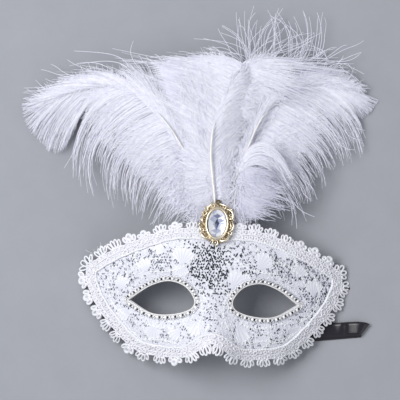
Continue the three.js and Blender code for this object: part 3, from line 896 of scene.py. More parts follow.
@dataclass
class OpenNet(Piece):
    """The net's holes, painted near black or mid grey as shade, and lurex threads over the rest.

    The real net's meshes are about 1 mm apart, too fine to show as holes in the render, so
    they are drawn at the pitch given here.
    """

    seed: int = 11
    pitch: float = 1.85
    scatter: float = 0.3
    rim_margin: float = 5.4
    eye_margin: float = 4.6
    base_share: float = 0.14  # of holes that are open anywhere
    black_shares: tuple = (0.12, 0.25, 1.0, 0.36)  # left, middle, its dark parts, right
    middle_part: tuple = (-23, 25)
    hole: tuple = (0.95, 0.53, 0.14)  # half length, half width, half height
    hole_lift: float = 0.95
    paired: float = 0.2  # share of holes with another beside them
    chevrons: float = 0.82  # share of holes that start no chevron
    thread: tuple = (0.85, 0.2, 0.24)  # half length, half width, half height
    thread_lift: float = 0.92
    # Where the holes in the net are open and painted dark as shade: place, half widths and share
    dark: tuple = (
        (-4, 25, 18, 17, 0.92), (-16, 36, 8, 8, 0.6), (12, 32, 12, 9, 0.6), (2, 8, 14, 8, 0.6),
        (-26, 15, 10, 6, 0.5), (44, 27, 18, 9, 0.75), (72, 10, 12, 15, 0.8), (26, 22, 8, 6, 0.7),
        (-44, 27, 20, 10, 0.7), (-66, 12, 13, 13, 0.6), (58, 24, 16, 11, 0.75), (38, -22, 20, 9, 0.42),
        (-32, -20, 26, 11, 0.3), (0, -8, 10, 14, 0.35), (20, -26, 10, 10, 0.4), (-60, -8, 14, 10, 0.35),
        (64, -8, 12, 10, 0.4))

    def knots(self) -> Array:
        """Where the net's meshes lie, clear of border, braids and petals.

        Returns:
            Plan points.
        """
        xs, ys = np.meshgrid(np.arange(-84, 84, self.pitch), np.arange(-36, 46, self.pitch))
        xs[1::2] += self.pitch / 2
        plan = np.stack([xs.ravel(), ys.ravel()], axis=1)
        plan = plan + self.rng.normal(0, self.scatter, plan.shape)
        free = self.inside(plan, whole_rim(400), self.rim_margin)
        eye = smooth_curve(EYE, 160)
        for hand in Hand:
            free &= ~self.inside(plan, eye * np.array([hand.value, 1]), -self.eye_margin)
        for petal in PETALS:
            free &= ~petal.covers(plan)
        return plan[free]

    def build(self) -> None:
        """The holes in painted shade, single, side by side or in chevrons, and the threads round them."""
        forms, rng = self.forms, self.rng
        plan = self.knots()
        dark = np.zeros(len(plan))
        for x, y, half_x, half_y, share in self.dark:
            near = np.exp(-((((plan[:, 0] - x) / half_x) ** 2 + ((plan[:, 1] - y) / half_y) ** 2) ** 2))
            dark = np.maximum(dark, share * near)
        is_open = rng.random(len(plan)) < dark + self.base_share
        # Painted shade: more of the open holes are black on the right than on the left
        left, middle, middle_dark, right = self.black_shares
        share = np.where(plan[:, 0] < self.middle_part[0], left, np.where(
            plan[:, 0] > self.middle_part[1], right, np.where(dark > 0.5, middle_dark, middle)))
        black = is_open & (rng.random(len(plan)) < share)
        for finish, chosen in ((NET_SHADE, black), (NET_HALF_SHADE, is_open & ~black)):
            self.add_holes(plan[chosen], dark[chosen], finish)
        spots = np.repeat(plan[~black], 2, axis=0)
        spots = spots + rng.normal(0, 0.75, spots.shape)
        angle = rng.uniform(0, math.pi, len(spots))
        long, wide, high = self.thread
        sizes = np.stack([
            rng.normal(long, 0.2, len(spots)), np.full(len(spots), wide), np.full(len(spots), high)], axis=1)
        forms.on_face(SEED_BEAD, spots, angle, sizes, self.thread_lift, LUREX)
        forms.keep("net_holes_and_threads", [NET_SHADE, NET_HALF_SHADE, LUREX], Slot.FOIL_LACE)

    def add_holes(self, plan: Array, dark: Array, finish: PlainFinish) -> None:
        """Long slanting holes, some with another beside them or bent into a chevron.

        Args:
            plan: Their places.
            dark: How dark the net is at each, 0 to 1: the darker the larger the hole.
            finish: The painted shade that shows through them.
        """
        rng = self.rng
        slant = rng.normal(1.15, 0.35, len(plan)) * np.where(rng.random(len(plan)) < 0.5, 1, -1)
        kind = rng.random(len(plan))
        pair, bent = kind < self.paired, kind > self.chevrons
        grow = 0.68 + 0.34 * np.minimum(1, dark / 0.7)
        ahead = heading(slant)
        beside = plan + ahead[:, ::-1] * np.array([-1, 1]) * 1.05
        beyond = plan + ahead * 0.95
        long, wide, high = self.hole
        for spots, angle, size in ((plan, slant, grow), (beside[pair], slant[pair], grow[pair]),
                                   (beyond[bent], -slant[bent], grow[bent])):
            count = len(spots)
            sizes = np.stack([rng.normal(long, 0.16, count) * size,
                              rng.normal(wide, 0.08, count) * size, np.full(count, high)], axis=1)
            self.forms.on_face(SEED_BEAD, spots, angle, sizes, self.hole_lift, finish)

    @staticmethod
    def inside(plan: Array, outline: Array, margin: float) -> Array:
        """Whether points lie inside an outline.

        Args:
            plan: The points.
            outline: The outline's points.
            margin: By how much, or within how much of it if negative.

        Returns:
            One truth value for each.
        """
        ahead = np.roll(outline, -1, axis=0)
        x, y = plan[:, :1], plan[:, 1:]
        crosses = (outline[:, 1] > y) != (ahead[:, 1] > y)
        rise = np.where(ahead[:, 1] == outline[:, 1], TINY, ahead[:, 1] - outline[:, 1])
        at = outline[:, 0] + (y - outline[:, 1]) * (ahead[:, 0] - outline[:, 0]) / rise
        within = (crosses & (x < at)).sum(axis=1) % 2 == 1
        gap = np.sqrt(((plan[:, None] - outline[None]) ** 2).sum(axis=2)).min(axis=1)
        return within & (gap > margin) if margin >= 0 else within | (gap < -margin)


# Lace border


@dataclass(frozen=True)
class Loop:
    """One worked loop of a scallop: its middle, its half sizes and its thread's radius."""

    side: float
    out: float
    half_run: float
    half_out: float
    thread: float


@dataclass
class LaceBorder(Piece):
    """The guipure border: a stitched band with rings, cords along it and scallops outside.

    Its thread is drawn thicker than real cotton of about 0.5 mm, so that each loop shows.
    """

    seed: int = 5
    scallops: int = 40
    # The band's section: how far out of the rim and how high over the face
    section: tuple = (
        (-5.8, 1.0), (-5.8, 1.3), (-4, 1.6), (-2, 1.55), (0, 1.6), (1.0, 1.55), (1.7, 1.45), (1.7, 1.3),
        (0, 1.25), (-5.8, 1.0))
    band_steps: int = 1100
    stitch: float = 1.35  # its length along the rim
    stitch_rise: float = 0.08
    stitched_from: float = 1.4  # the height over which stitches show
    # The twisted cords: how far out of the rim, radius, lift, and length of one twist
    cords: tuple = ((-5.25, 0.78, 1.75, 2.1), (-1.45, 0.48, 1.95, 1.7), (1.3, 0.5, 1.9, 1.9))
    twist_steps: int = 5
    twist_depth: float = 0.16
    sway: float = 0.18
    sway_length: float = 11.2
    # The rows of rings: how far out of the rim, and where they start as a share of their pitch
    ring_rows: tuple = ((-3.4, 0.0), (0.2, 0.5))
    rings_per_scallop: int = 3
    ring_radius: float = 1.1
    ring_stretch: float = 1.2
    ring_thread: float = 0.62
    ring_lift: float = 1.85
    # A round knob with a lesser loop on either side, or four long loops like fingers
    knob: tuple = (
        Loop(0.0, 4.3, 1.6, 1.5, 1.05), Loop(3.3, 3.4, 1.05, 1.1, 0.78), Loop(-3.2, 3.0, 1.05, 1.1, 0.8),
        Loop(0.9, 2.0, 1.3, 0.7, 0.7))
    fingers: tuple = (
        Loop(-1.1, 4.0, 1.0, 2.1, 0.66), Loop(1.3, 3.9, 0.95, 2.1, 0.66), Loop(-3.3, 3.3, 0.95, 1.7, 0.62),
        Loop(3.5, 3.2, 0.9, 1.6, 0.62))
    cheek_y: float = -15  # below it fingers are more common
    finger_shares: tuple = (0.4, 0.8)  # over and under it
    filled_from: float = 0.68  # threads thicker than this have a ground inside their loop
    loop_lift: float = 1.95
    farthest: float = 7.4
    loose_threads: int = 5

    def __post_init__(self) -> None:
        """Starts with the rim as its line."""
        super().__post_init__()
        self.line = RimLine(whole_rim(1200), 8)

    def build(self) -> None:
        """The border."""
        self.add_band()
        self.add_cords()
        self.add_rings()
        self.add_scallops()
        self.add_loose_threads()
        self.forms.keep("guipure_border", [LACE_COTTON], Slot.GUIPURE, "lace_border")

    def add_band(self) -> None:
        """The stitched ground under the rings, from the inner cord to just outside the rim."""
        run = self.line.runs(self.band_steps)
        out, lift = np.array(self.section).T
        wave = self.stitch_rise * np.sin(run * FULL_TURN / self.stitch)[:, None]
        # Painted shade: the band's ground is tinted greyer than the rings on it
        self.forms.grid(self.line.ribbon(run, out, lift + wave * (lift > self.stitched_from)), tone=0.6)

    def add_cords(self) -> None:
        """The twisted cords along the inner edge and round the rim."""
        for out, radius, lift, pitch in self.cords:
            run = self.line.runs(round(self.line.length / pitch) * self.twist_steps)
            twist = 1 + self.twist_depth * np.cos(np.arange(len(run)) * FULL_TURN / self.twist_steps)
            sway = self.sway * np.sin(run * FULL_TURN / self.sway_length)
            self.forms.tube(self.line.place(run, out + sway, lift), radius * twist, 6, closed=True)

    def add_rings(self) -> None:
        """Rows of small worked rings along the band, their holes as small as a needle leaves."""
        turn = round_turn(10)
        count = self.scallops * self.rings_per_scallop
        for out, shift in self.ring_rows:
            for k in range(count):
                centre = (k + shift) * self.line.length / count + self.rng.normal(0, 0.25)
                size = self.ring_radius * self.rng.normal(1, 0.1)
                tilt = self.rng.normal(0, 0.22)
                run = centre + size * self.ring_stretch * np.cos(turn)
                away = out + self.rng.normal(0, 0.15) + size * np.sin(turn)
                lift = self.ring_lift + tilt * np.sin(turn) + self.rng.normal(0, 0.12)
                self.forms.tube(self.line.place(run, away, lift), self.ring_thread, 5, closed=True,
                           tone=self.rng.uniform(0.75, 1.0))

    def add_scallops(self) -> None:
        """The scallops of worked loops, with deep notches between them."""
        turn = round_turn(14)
        over, under = self.finger_shares
        for k in range(self.scallops):
            centre = (k + 0.5) * (self.line.length / self.scallops) + self.rng.normal(0, 0.3)
            x, y = self.line.plan(centre, 0.0)
            low = y < self.cheek_y
            # Larger at the left temple, and a little larger below the brows
            grow = 0.75 if x < -50 else 0.35 * (y < 14)
            loops, flip = self.knob, self.rng.choice([-1, 1])
            if self.rng.random() < (under if low else over):
                loops, flip = self.fingers, 1
            for loop in loops:
                side = loop.side * flip * (1 - 0.25 * grow * low)
                middle = loop.out + grow + self.rng.normal(0, 0.2)
                lean = side * 0.1 + self.rng.normal(0, 0.1)
                across, away = loop.half_run * np.cos(turn), (loop.half_out + grow) * np.sin(turn)
                run = centre + side + across * math.cos(lean) + away * math.sin(lean)
                out = middle + away * math.cos(lean) - across * math.sin(lean)
                wave = 0.3 * np.sin(turn + self.rng.uniform(0, 6))
                lift = self.loop_lift + wave + self.rng.normal(0, 0.2)
                ring = self.line.place(run, np.minimum(out, self.farthest), lift)
                self.forms.tube(ring, loop.thread * self.rng.normal(1, 0.05), 7, closed=True, flat=0.85,
                                tone=self.rng.uniform(0.85, 1.0))
                if loop.thread > self.filled_from:
                    # Painted shade: a dark ground sunk inside the loop
                    sunk = UP * 0.35
                    ground = np.stack([ring - sunk, 0 * ring + ring.mean(axis=0) - sunk])
                    self.forms.grid(ground, tone=0.1, closed=True)

    def add_loose_threads(self) -> None:
        """A few loose ends at the left temple."""
        radii = np.linspace(0.16, 0.08, 7)
        share = np.linspace(0, 1, 7)[:, None]
        for k in range(self.loose_threads):
            start = np.array([-84.5 + 2.2 * k, 27.5 + 1.4 * k])
            ahead = np.array([self.rng.normal(-0.5, 0.5), 1.0])
            plan = start + ahead * share * self.rng.uniform(3, 5.5) + 0.5 * np.sin(share * 5 + k)
            self.forms.tube(FACE.point(plan, 1.9 + share[:, 0] * 0.8), radii, 4)


# Eye braid


@dataclass(frozen=True)
class Bead:
    """One bead of the braid's repeat: where it sits, its height, half sizes and finish."""

    shift: float  # as a share of the repeat
    out: float
    lift: float
    sizes: tuple
    finish: PlainFinish


@dataclass
class EyeBraid(Piece):
    """The gimp braid round one eye: a cord at the hole, crossing threads, beads and dark cups."""

    hand: Hand
    repeat: float = 5.2
    steps: int = 14  # in one repeat
    cord: tuple = (0.5, 1.9, 0.42)  # how far out of the hole, lift and radius
    edge_thread: tuple = (3.5, 1.6, 0.3)
    edge_wave: float = 0.18
    crossing: tuple = (2.15, 2.05, 0.38)  # the same for the crossing threads' middle
    crossing_reach: float = 1
    crossing_rise: float = 0.3
    beads_face: float = 3  # beads point to a spot this far out and a little further along
    bead_lean: float = 0.2  # radians off that
    beads: tuple = (
        Bead(0.5, 2.15, 2.35, (1.42, 0.95, 0.85), BEAD_GLASS),
        Bead(0.23, 2.25, 2.45, (1.12, 0.6, 0.4), BEAD_CUP),
        Bead(0.0, 2.1, 2.3, (0.9, 0.55, 0.55), BEAD_GLASS),
        # The last three are painted shade: grey specks between the threads of the braid's outer band
        Bead(0.74, 2.9, 2.3, (0.75, 0.32, 0.3), NET_HALF_SHADE),
        Bead(0.1, 3.3, 2.1, (0.7, 0.32, 0.3), NET_HALF_SHADE),
        Bead(0.42, 3.5, 2.0, (0.6, 0.3, 0.3), NET_HALF_SHADE))
    # The ground's section: how far out of the hole and how high over the face
    ground: tuple = ((0.5, 1.35), (2.0, 1.5), (3.6, 1.35))

    def __post_init__(self) -> None:
        """Starts with the edge of the eye hole as its line."""
        super().__post_init__()
        eye = smooth_curve(EYE, 600)[:-1] * np.array([self.hand.value, 1])
        self.line = RimLine(eye[::self.hand.value], 6)

    def build(self) -> None:
        """The braid."""
        line, forms = self.line, self.forms
        units = round(line.length / self.repeat)
        run = line.runs(units * self.steps)
        phase = FULL_TURN * units * run / line.length
        out, lift, radius = self.cord
        forms.tube(line.place(run, out, lift), radius, 6, closed=True, finish=GIMP_CORD)
        out, lift, radius = self.edge_thread
        wave = self.edge_wave * np.cos(phase * 2)
        forms.tube(line.place(run, out + wave, lift), radius, 5, closed=True, finish=LUREX)
        out, lift, radius = self.crossing
        for turn in (0.0, math.pi):
            sway = self.crossing_reach * np.sin(phase + turn)
            rise = self.crossing_rise * np.cos(phase + turn)
            forms.tube(line.place(run, out + sway, lift + rise), radius, 5, closed=True, tone=0.9)
        for bead in self.beads:
            middles = (np.arange(units) + bead.shift) * (line.length / units)
            plan = line.plan(middles, bead.out)
            ahead = line.plan(middles + 0.1, self.beads_face) - plan
            angle = np.arctan2(ahead[:, 1], ahead[:, 0]) + self.bead_lean
            sizes = np.tile(bead.sizes, (units, 1))
            forms.on_face(ROUND_BEAD, plan, angle, sizes, bead.lift, bead.finish)
        out, lift = np.array(self.ground).T
        forms.grid(line.ribbon(run, out, lift), tone=0.7)
        finishes = [SILVER_GIMP, BEAD_GLASS, BEAD_CUP, GIMP_CORD, LUREX, NET_HALF_SHADE]
        word = self.hand.name.lower()
        forms.keep(f"gimp_braid_{word}", finishes, Slot.BRAID, f"eye_braid_{word}")


# Brooch


@dataclass
class Brooch(Piece):
    """The gold setting with its clear oval stone, leaning a little to the right."""

    x: float = 0.6
    y: float = 53.5
    lift: float = 3.1  # over the top of the rim
    back_tilt: float = 7
    lean: float = 1.6
    plate_steps: int = 156
    plate_half: tuple = (10.6, 13.0)
    lobes: int = 13
    lobe_depth: float = 1.1
    lobed_within: float = 3  # the lobes fade out further in
    # The plate's section: how far in from its edge and how high
    plate: tuple = ((9.9, 0.1), (0.5, 0.1), (0.0, 0.35), (0.1, 0.8), (0.6, 0.95), (3.2, 0.7), (9.9, 0.7))
    # The bezel's section: half width and height
    bezel: tuple = (
        (8.15, 0.6), (8.3, 1.9), (8.2, 2.9), (7.85, 3.5), (7.3, 3.65), (6.85, 3.4), (6.7, 2.9), (6.62, 1.3))
    # The painted shadow between stone and bezel, a dark line: half width, half length, height and radius
    gap: tuple = (6.72, 10.3, 3.2, 0.34)
    gap_shift: tuple = (-0.14, -0.2, 0)
    # Rows of granules: half width, height, count and radius
    granules: tuple = ((8.9, 1.1, 46, 0.42), (9.9, 1.2, 42, 0.38), (10.8, 1.15, 46, 0.36))
    # Rococo scrolls: middle lines in the brooch's plane and radii
    scrolls: tuple = (
        (((-0.5, 12.8), (-2.5, 13.8), (-4.7, 13.3), (-6.1, 11.8), (-7.6, 10.4)), 0.65),
        (((-9.1, 5.2), (-10.4, 3.2), (-10.3, 0.9), (-8.9, -1.3)), 0.8),
        (((-12, -0.8), (-11.6, -3.7), (-9.9, -6.3), (-7.9, -7.9)), 0.65),
        (((-11, -6.9), (-9.2, -9.6), (-6.3, -11), (-3.4, -11), (-2.4, -12)), 1.05),
        (((8.6, -6.4), (8.3, -9.4), (6, -11.7), (3.2, -11.9), (2.4, -10.9)), 1.05),
        (((10.6, 1.9), (11.5, -1.2), (10.8, -3.7), (9.3, -4.9)), 0.65),
        (((8.9, 1.4), (9.8, -1.4), (9, -3.4)), 0.6),
        (((6.6, 10.3), (9.2, 9.3), (10.8, 6.8), (10.6, 4.1), (9, 3.6), (8.9, 5.3)), 0.7),
        (((1.9, 13.5), (4.4, 13), (6.9, 12), (9.2, 10.4)), 0.75),
        (((-9.3, 8.6), (-10.6, 7.2), (-10.4, 5.4)), 0.6))
    scroll_base: float = 1.5
    scroll_rise: float = 0.7
    # Rings of the filigree: place and radius
    rings: tuple = (
        (-3.4, 12, 1.2), (-8, 10, 1.25), (-8.8, 7, 1.25), (-10.1, -5.2, 1.1), (-8.2, -4.6, 0.9),
        (9.4, -6.1, 1.2), (-0.4, -13.4, 1.75), (4.6, 11.6, 1.0), (9.3, 6, 0.9), (-10.9, 2.3, 0.8),
        (10.6, -3, 0.8), (-5.6, -9.9, 0.8), (5.4, -10.4, 0.8))
    ring_height: float = 1.7
    ring_wire: float = 0.4
    # Single balls: place and radius
    balls: tuple = (
        (-0.4, -13.4, 0.75), (-12, -0.8, 0.8), (11.2, 3.2, 0.7), (-1.9, 13.9, 0.6), (1.6, 13.9, 0.6),
        (0, -15.7, 0.5), (9.6, 10.2, 0.75))
    ball_height: float = 1.6
    # The hanging ring at the top: its middle, radius, height and wire
    hanging_ring: tuple = (15, 1.33, 0.95, 0.5)
    stone_sides: int = 16
    # The stone's rings: half sizes, height, and whether turned by half a facet
    stone_rings: tuple = (
        (5.4, 8.4, 1.75, 0), (6.4, 10, 2.5, 0), (6.4, 10, 3.0, 0), (5.35, 8.35, 4.2, 1), (3.9, 6.1, 5.3, 0))
    table_height: float = 5.42
    # The foil's points: its middle, four round it, the belt, and three of the star
    foil_points: tuple = (
        (0, 0, 1.6), (0, 3.4, 1.95), (1.6, 0, 1.75), (0, -3.4, 1.95), (-1.6, 0, 1.75), (0, 6.6, 2.1),
        (2.9, 5.2, 2.1), (5.0, 2.6, 2.1), (5.6, -1.0, 2.1), (3.6, -5.0, 2.1), (0, -7.0, 2.1),
        (-3.6, -5.0, 2.1), (-5.6, -1.0, 2.1), (-5.0, 2.6, 2.1), (-2.9, 5.2, 2.1), (-2.9, -0.4, 2.1),
        (2.7, -1.0, 2.1), (-0.1, -5.0, 2.15))
    foil_belt: tuple = (5, 15)  # the first of them on the belt, and the first past it
    # Its facets inside the belt: three points, and which foil. The last four are the star
    foil_facets: tuple = (
        (1, 2, 0, 3), (2, 3, 0, 3), (3, 4, 0, 2), (4, 1, 0, 3), (1, 5, 6, 2), (1, 14, 5, 2), (1, 6, 7, 0),
        (1, 7, 2, 1), (1, 13, 14, 1), (1, 4, 13, 1), (2, 7, 8, 1), (2, 8, 9, 0), (2, 9, 3, 0),
        (4, 12, 13, 0), (4, 11, 12, 0), (4, 3, 11, 0), (3, 9, 10, 1), (3, 10, 11, 1), (4, 15, 17, 1),
        (4, 17, 3, 2), (2, 3, 17, 2), (2, 17, 16, 1))
    foil_rim: tuple = (6.2, 9.8, 2.4)  # half sizes and height
    plain_rim: tuple = (2, 3, 6, 7)  # stretches of the rim where every facet is bright

    def frame(self) -> Matrix:
        """Where the brooch's own frame lies in the mask's frame.

        Returns:
            The matrix.
        """
        height = FACE.spot(*RIM[0]) + self.lift
        return (Matrix.Translation((self.x, self.y, height))
                @ Matrix.Rotation(math.radians(-self.back_tilt), 4, "X")
                @ Matrix.Rotation(math.radians(-self.lean), 4, "Z"))

    @staticmethod
    def oval(half_x: float | Array, half_y: float | Array, steps: int, height: float,
             start: float = 0) -> Array:
        """Points round an oval of the given half sizes, the first at the start angle."""
        turn = start + round_turn(steps)
        return np.stack([half_x * np.cos(turn), half_y * np.sin(turn), np.full(steps, height)], 1)

    def setting(self) -> None:
        """Lobed plate, bezel, granules, scrolls, rings and balls, and the hanging ring."""
        self.add_plate()
        self.add_bezel()
        self.add_scrollwork()
        middle, radius, height, wire = self.hanging_ring
        ring = self.oval(radius, radius, 24, height) + np.array([0, middle, 0])
        # Painted shade: the hanging ring takes the darker casting
        self.forms.tube(ring, wire, 8, closed=True, finish=GOLD_PAINTED_SHADE)
        self.forms.keep(
            "brooch_filigree", [GOLD_PLATE, GOLD_PAINTED_SHADE], Slot.GOLD, "brooch_setting", frame=self.frame())

    def add_plate(self) -> None:
        """The lobed back plate, darker where the scrolls shade it."""
        steps, (half_x, half_y) = self.plate_steps, self.plate_half
        bulge = self.lobe_depth * np.abs(np.sin(self.lobes * round_turn(steps) / 2)) ** 0.8
        rows = []
        for inset, height in self.plate:
            lobes = bulge * (inset < self.lobed_within)
            rows.append(self.oval(half_x - inset + lobes, half_y - inset * 1.15 + lobes, steps, height))
        self.forms.grid(np.stack(rows), GOLD_PAINTED_SHADE, closed=True)

    def add_bezel(self) -> None:
        """The smooth oval band that holds the stone, with rows of granules round it."""
        rows = [
            self.oval(out, out + 3.2 + 0.42 * (out - 7.5) / 0.7, 72, height) for out, height in self.bezel]
        self.forms.grid(np.stack(rows), closed=True)
        # Painted shadow: a dark line where the bezel meets the stone
        half_x, half_y, height, radius = self.gap
        gap = self.oval(half_x, half_y, 60, height) + np.array(self.gap_shift)
        self.forms.tube(gap, radius, 6, closed=True, finish=GOLD_PAINTED_SHADE)
        for out, height, count, size in self.granules:
            grains = self.oval(out, out + 3.25 - 0.3 * (out > 9), count, height, out)
            self.forms.copies(ROUND_BEAD, np.tile(np.eye(3) * size, (count, 1, 1)), grains)

    def add_scrollwork(self) -> None:
        """Rococo C-scrolls that end in small balls, rings between them, and single balls."""
        share = np.linspace(0, 1, 26)
        for line, radius in self.scrolls:
            arch = np.sin(math.pi * share)
            path = np.column_stack([smooth_curve(line, 25), self.scroll_base + self.scroll_rise * arch])
            self.forms.tube(path, radius * (0.48 + 0.4 * arch**0.7), 8)
            for end in (path[0], path[-1]):
                self.forms.copies(FINE_BEAD, np.array([np.eye(3) * radius * 0.8]), end[None])
        turn = round_turn(16)
        for x, y, radius in self.rings:
            ring = np.column_stack([x + radius * np.cos(turn), y + radius * np.sin(turn),
                                    self.ring_height + 0.25 * np.cos(turn * 2)])
            self.forms.tube(ring, self.ring_wire, 6, closed=True)
        for x, y, radius in self.balls:
            self.forms.copies(FINE_BEAD, np.array([np.diag([radius, radius, radius * 0.8])]),
                         np.array([[x, y, self.ball_height]]))

    def stone(self) -> None:
        """The oval stone: girdle, crown facets and table over a shallow faceted back."""
        steps = self.stone_sides
        half_turn = math.pi / steps
        back, *crown = [self.oval(half_x, half_y, steps, height, half_turn * turned)
                        for half_x, half_y, height, turned in self.stone_rings]
        forms = Forms()
        self.facets(forms, back, crown[0])
        self.facets(forms, crown[0], crown[1])
        self.facets(forms, crown[1], crown[2], 1)
        self.facets(forms, crown[2], crown[3], -1)
        fan = np.array([(steps, k, (k + 1) % steps) for k in range(steps)])
        for ring, height in ((crown[3], self.table_height), (back[::-1], back[0, 2])):
            forms.add(np.concatenate([ring, [[0, 0, height]]]), fan)
        forms.keep("cut_stone", [STONE_GLASS], Slot.STONE, "brooch_stone", smooth=False, frame=self.frame())

    @staticmethod
    def facets(forms: Forms, low: Array, high: Array, turned: int = 0) -> None:
        """Triangles between two rings of equal count.

        Args:
            forms: What they're added to.
            low: The lower ring.
            high: The upper ring.
            turned: By how many half steps the upper is turned against the lower.
        """
        count = len(low)
        faces = []
        for k in range(count):
            after = (k + 1) % count
            if turned < 0:
                faces += [(k, count + after, count + k), (k, after, count + after)]
            elif turned:
                faces += [(k, after, count + k), (after, count + after, count + k)]
            else:
                faces += [(k, after, count + after), (k, count + after, count + k)]
        forms.add(np.concatenate([low, high]), np.array(faces))

    def foil(self) -> None:
        """The silvered foil under the stone: facets painted with reflections of light or dark parts of a
        room.
        """
        bright, sky = STONE_FOILS[:2]
        points, (start, end) = self.foil_points, self.foil_belt
        belt = points[start:end]
        half_x, half_y, height = self.foil_rim
        rim = self.oval(half_x, half_y, 20, height, math.pi / 2)[::-1]
        facets = [(points[a], points[b], points[c], STONE_FOILS[foil]) for a, b, c, foil in self.foil_facets]
        for k, a in enumerate(belt):
            b = belt[(k + 1) % len(belt)]
            c, d, e = (rim[(2 * k + step) % len(rim)] for step in range(3))
            first, last = (bright, sky) if k % 2 == 0 else (sky, bright)
            if k in self.plain_rim:
                first = last = bright
            facets += [(a, c, d, first), (a, d, b, bright), (b, d, e, last)]
        forms = Forms()
        for *corners, finish in facets:
            forms.add(np.array(corners, float), np.array([(0, 1, 2)]), finish)
        forms.keep("stone_foil", STONE_FOILS, Slot.GOLD, smooth=False, frame=self.frame())


# Feathers


@dataclass(frozen=True)
class Side:
    """One side of a feather, as guide barbs in plan: where each starts, passes and ends."""

    guides: list
    barbs: int = 1500
    fluff: int = 2600
    wisps: int = 34
    clump: float = 0.8
    ragged: float = 0.08
    vane: float = 0.5
    long: float = 0.11  # share of barbs that reach the outline
    middling: float = 0.2  # and of those that nearly do
    lift: float = 0
    # painted shade: a tint for the whole side
    shade: float = 1
    fan: float = 1  # from here on the barbs lie close and end on one arc
    comb: tuple = (2.0, 2.0)  # between these they part early, like a comb's teeth
    stray: float = 0.03
    down: float = 0.62  # how far out short down reaches, as a share of the barbs

    def parts_early(self, place: Array) -> Array:
        """Whether barbs at places in the row belong to the comb."""
        return (place > self.comb[0]) & (place < self.comb[1])


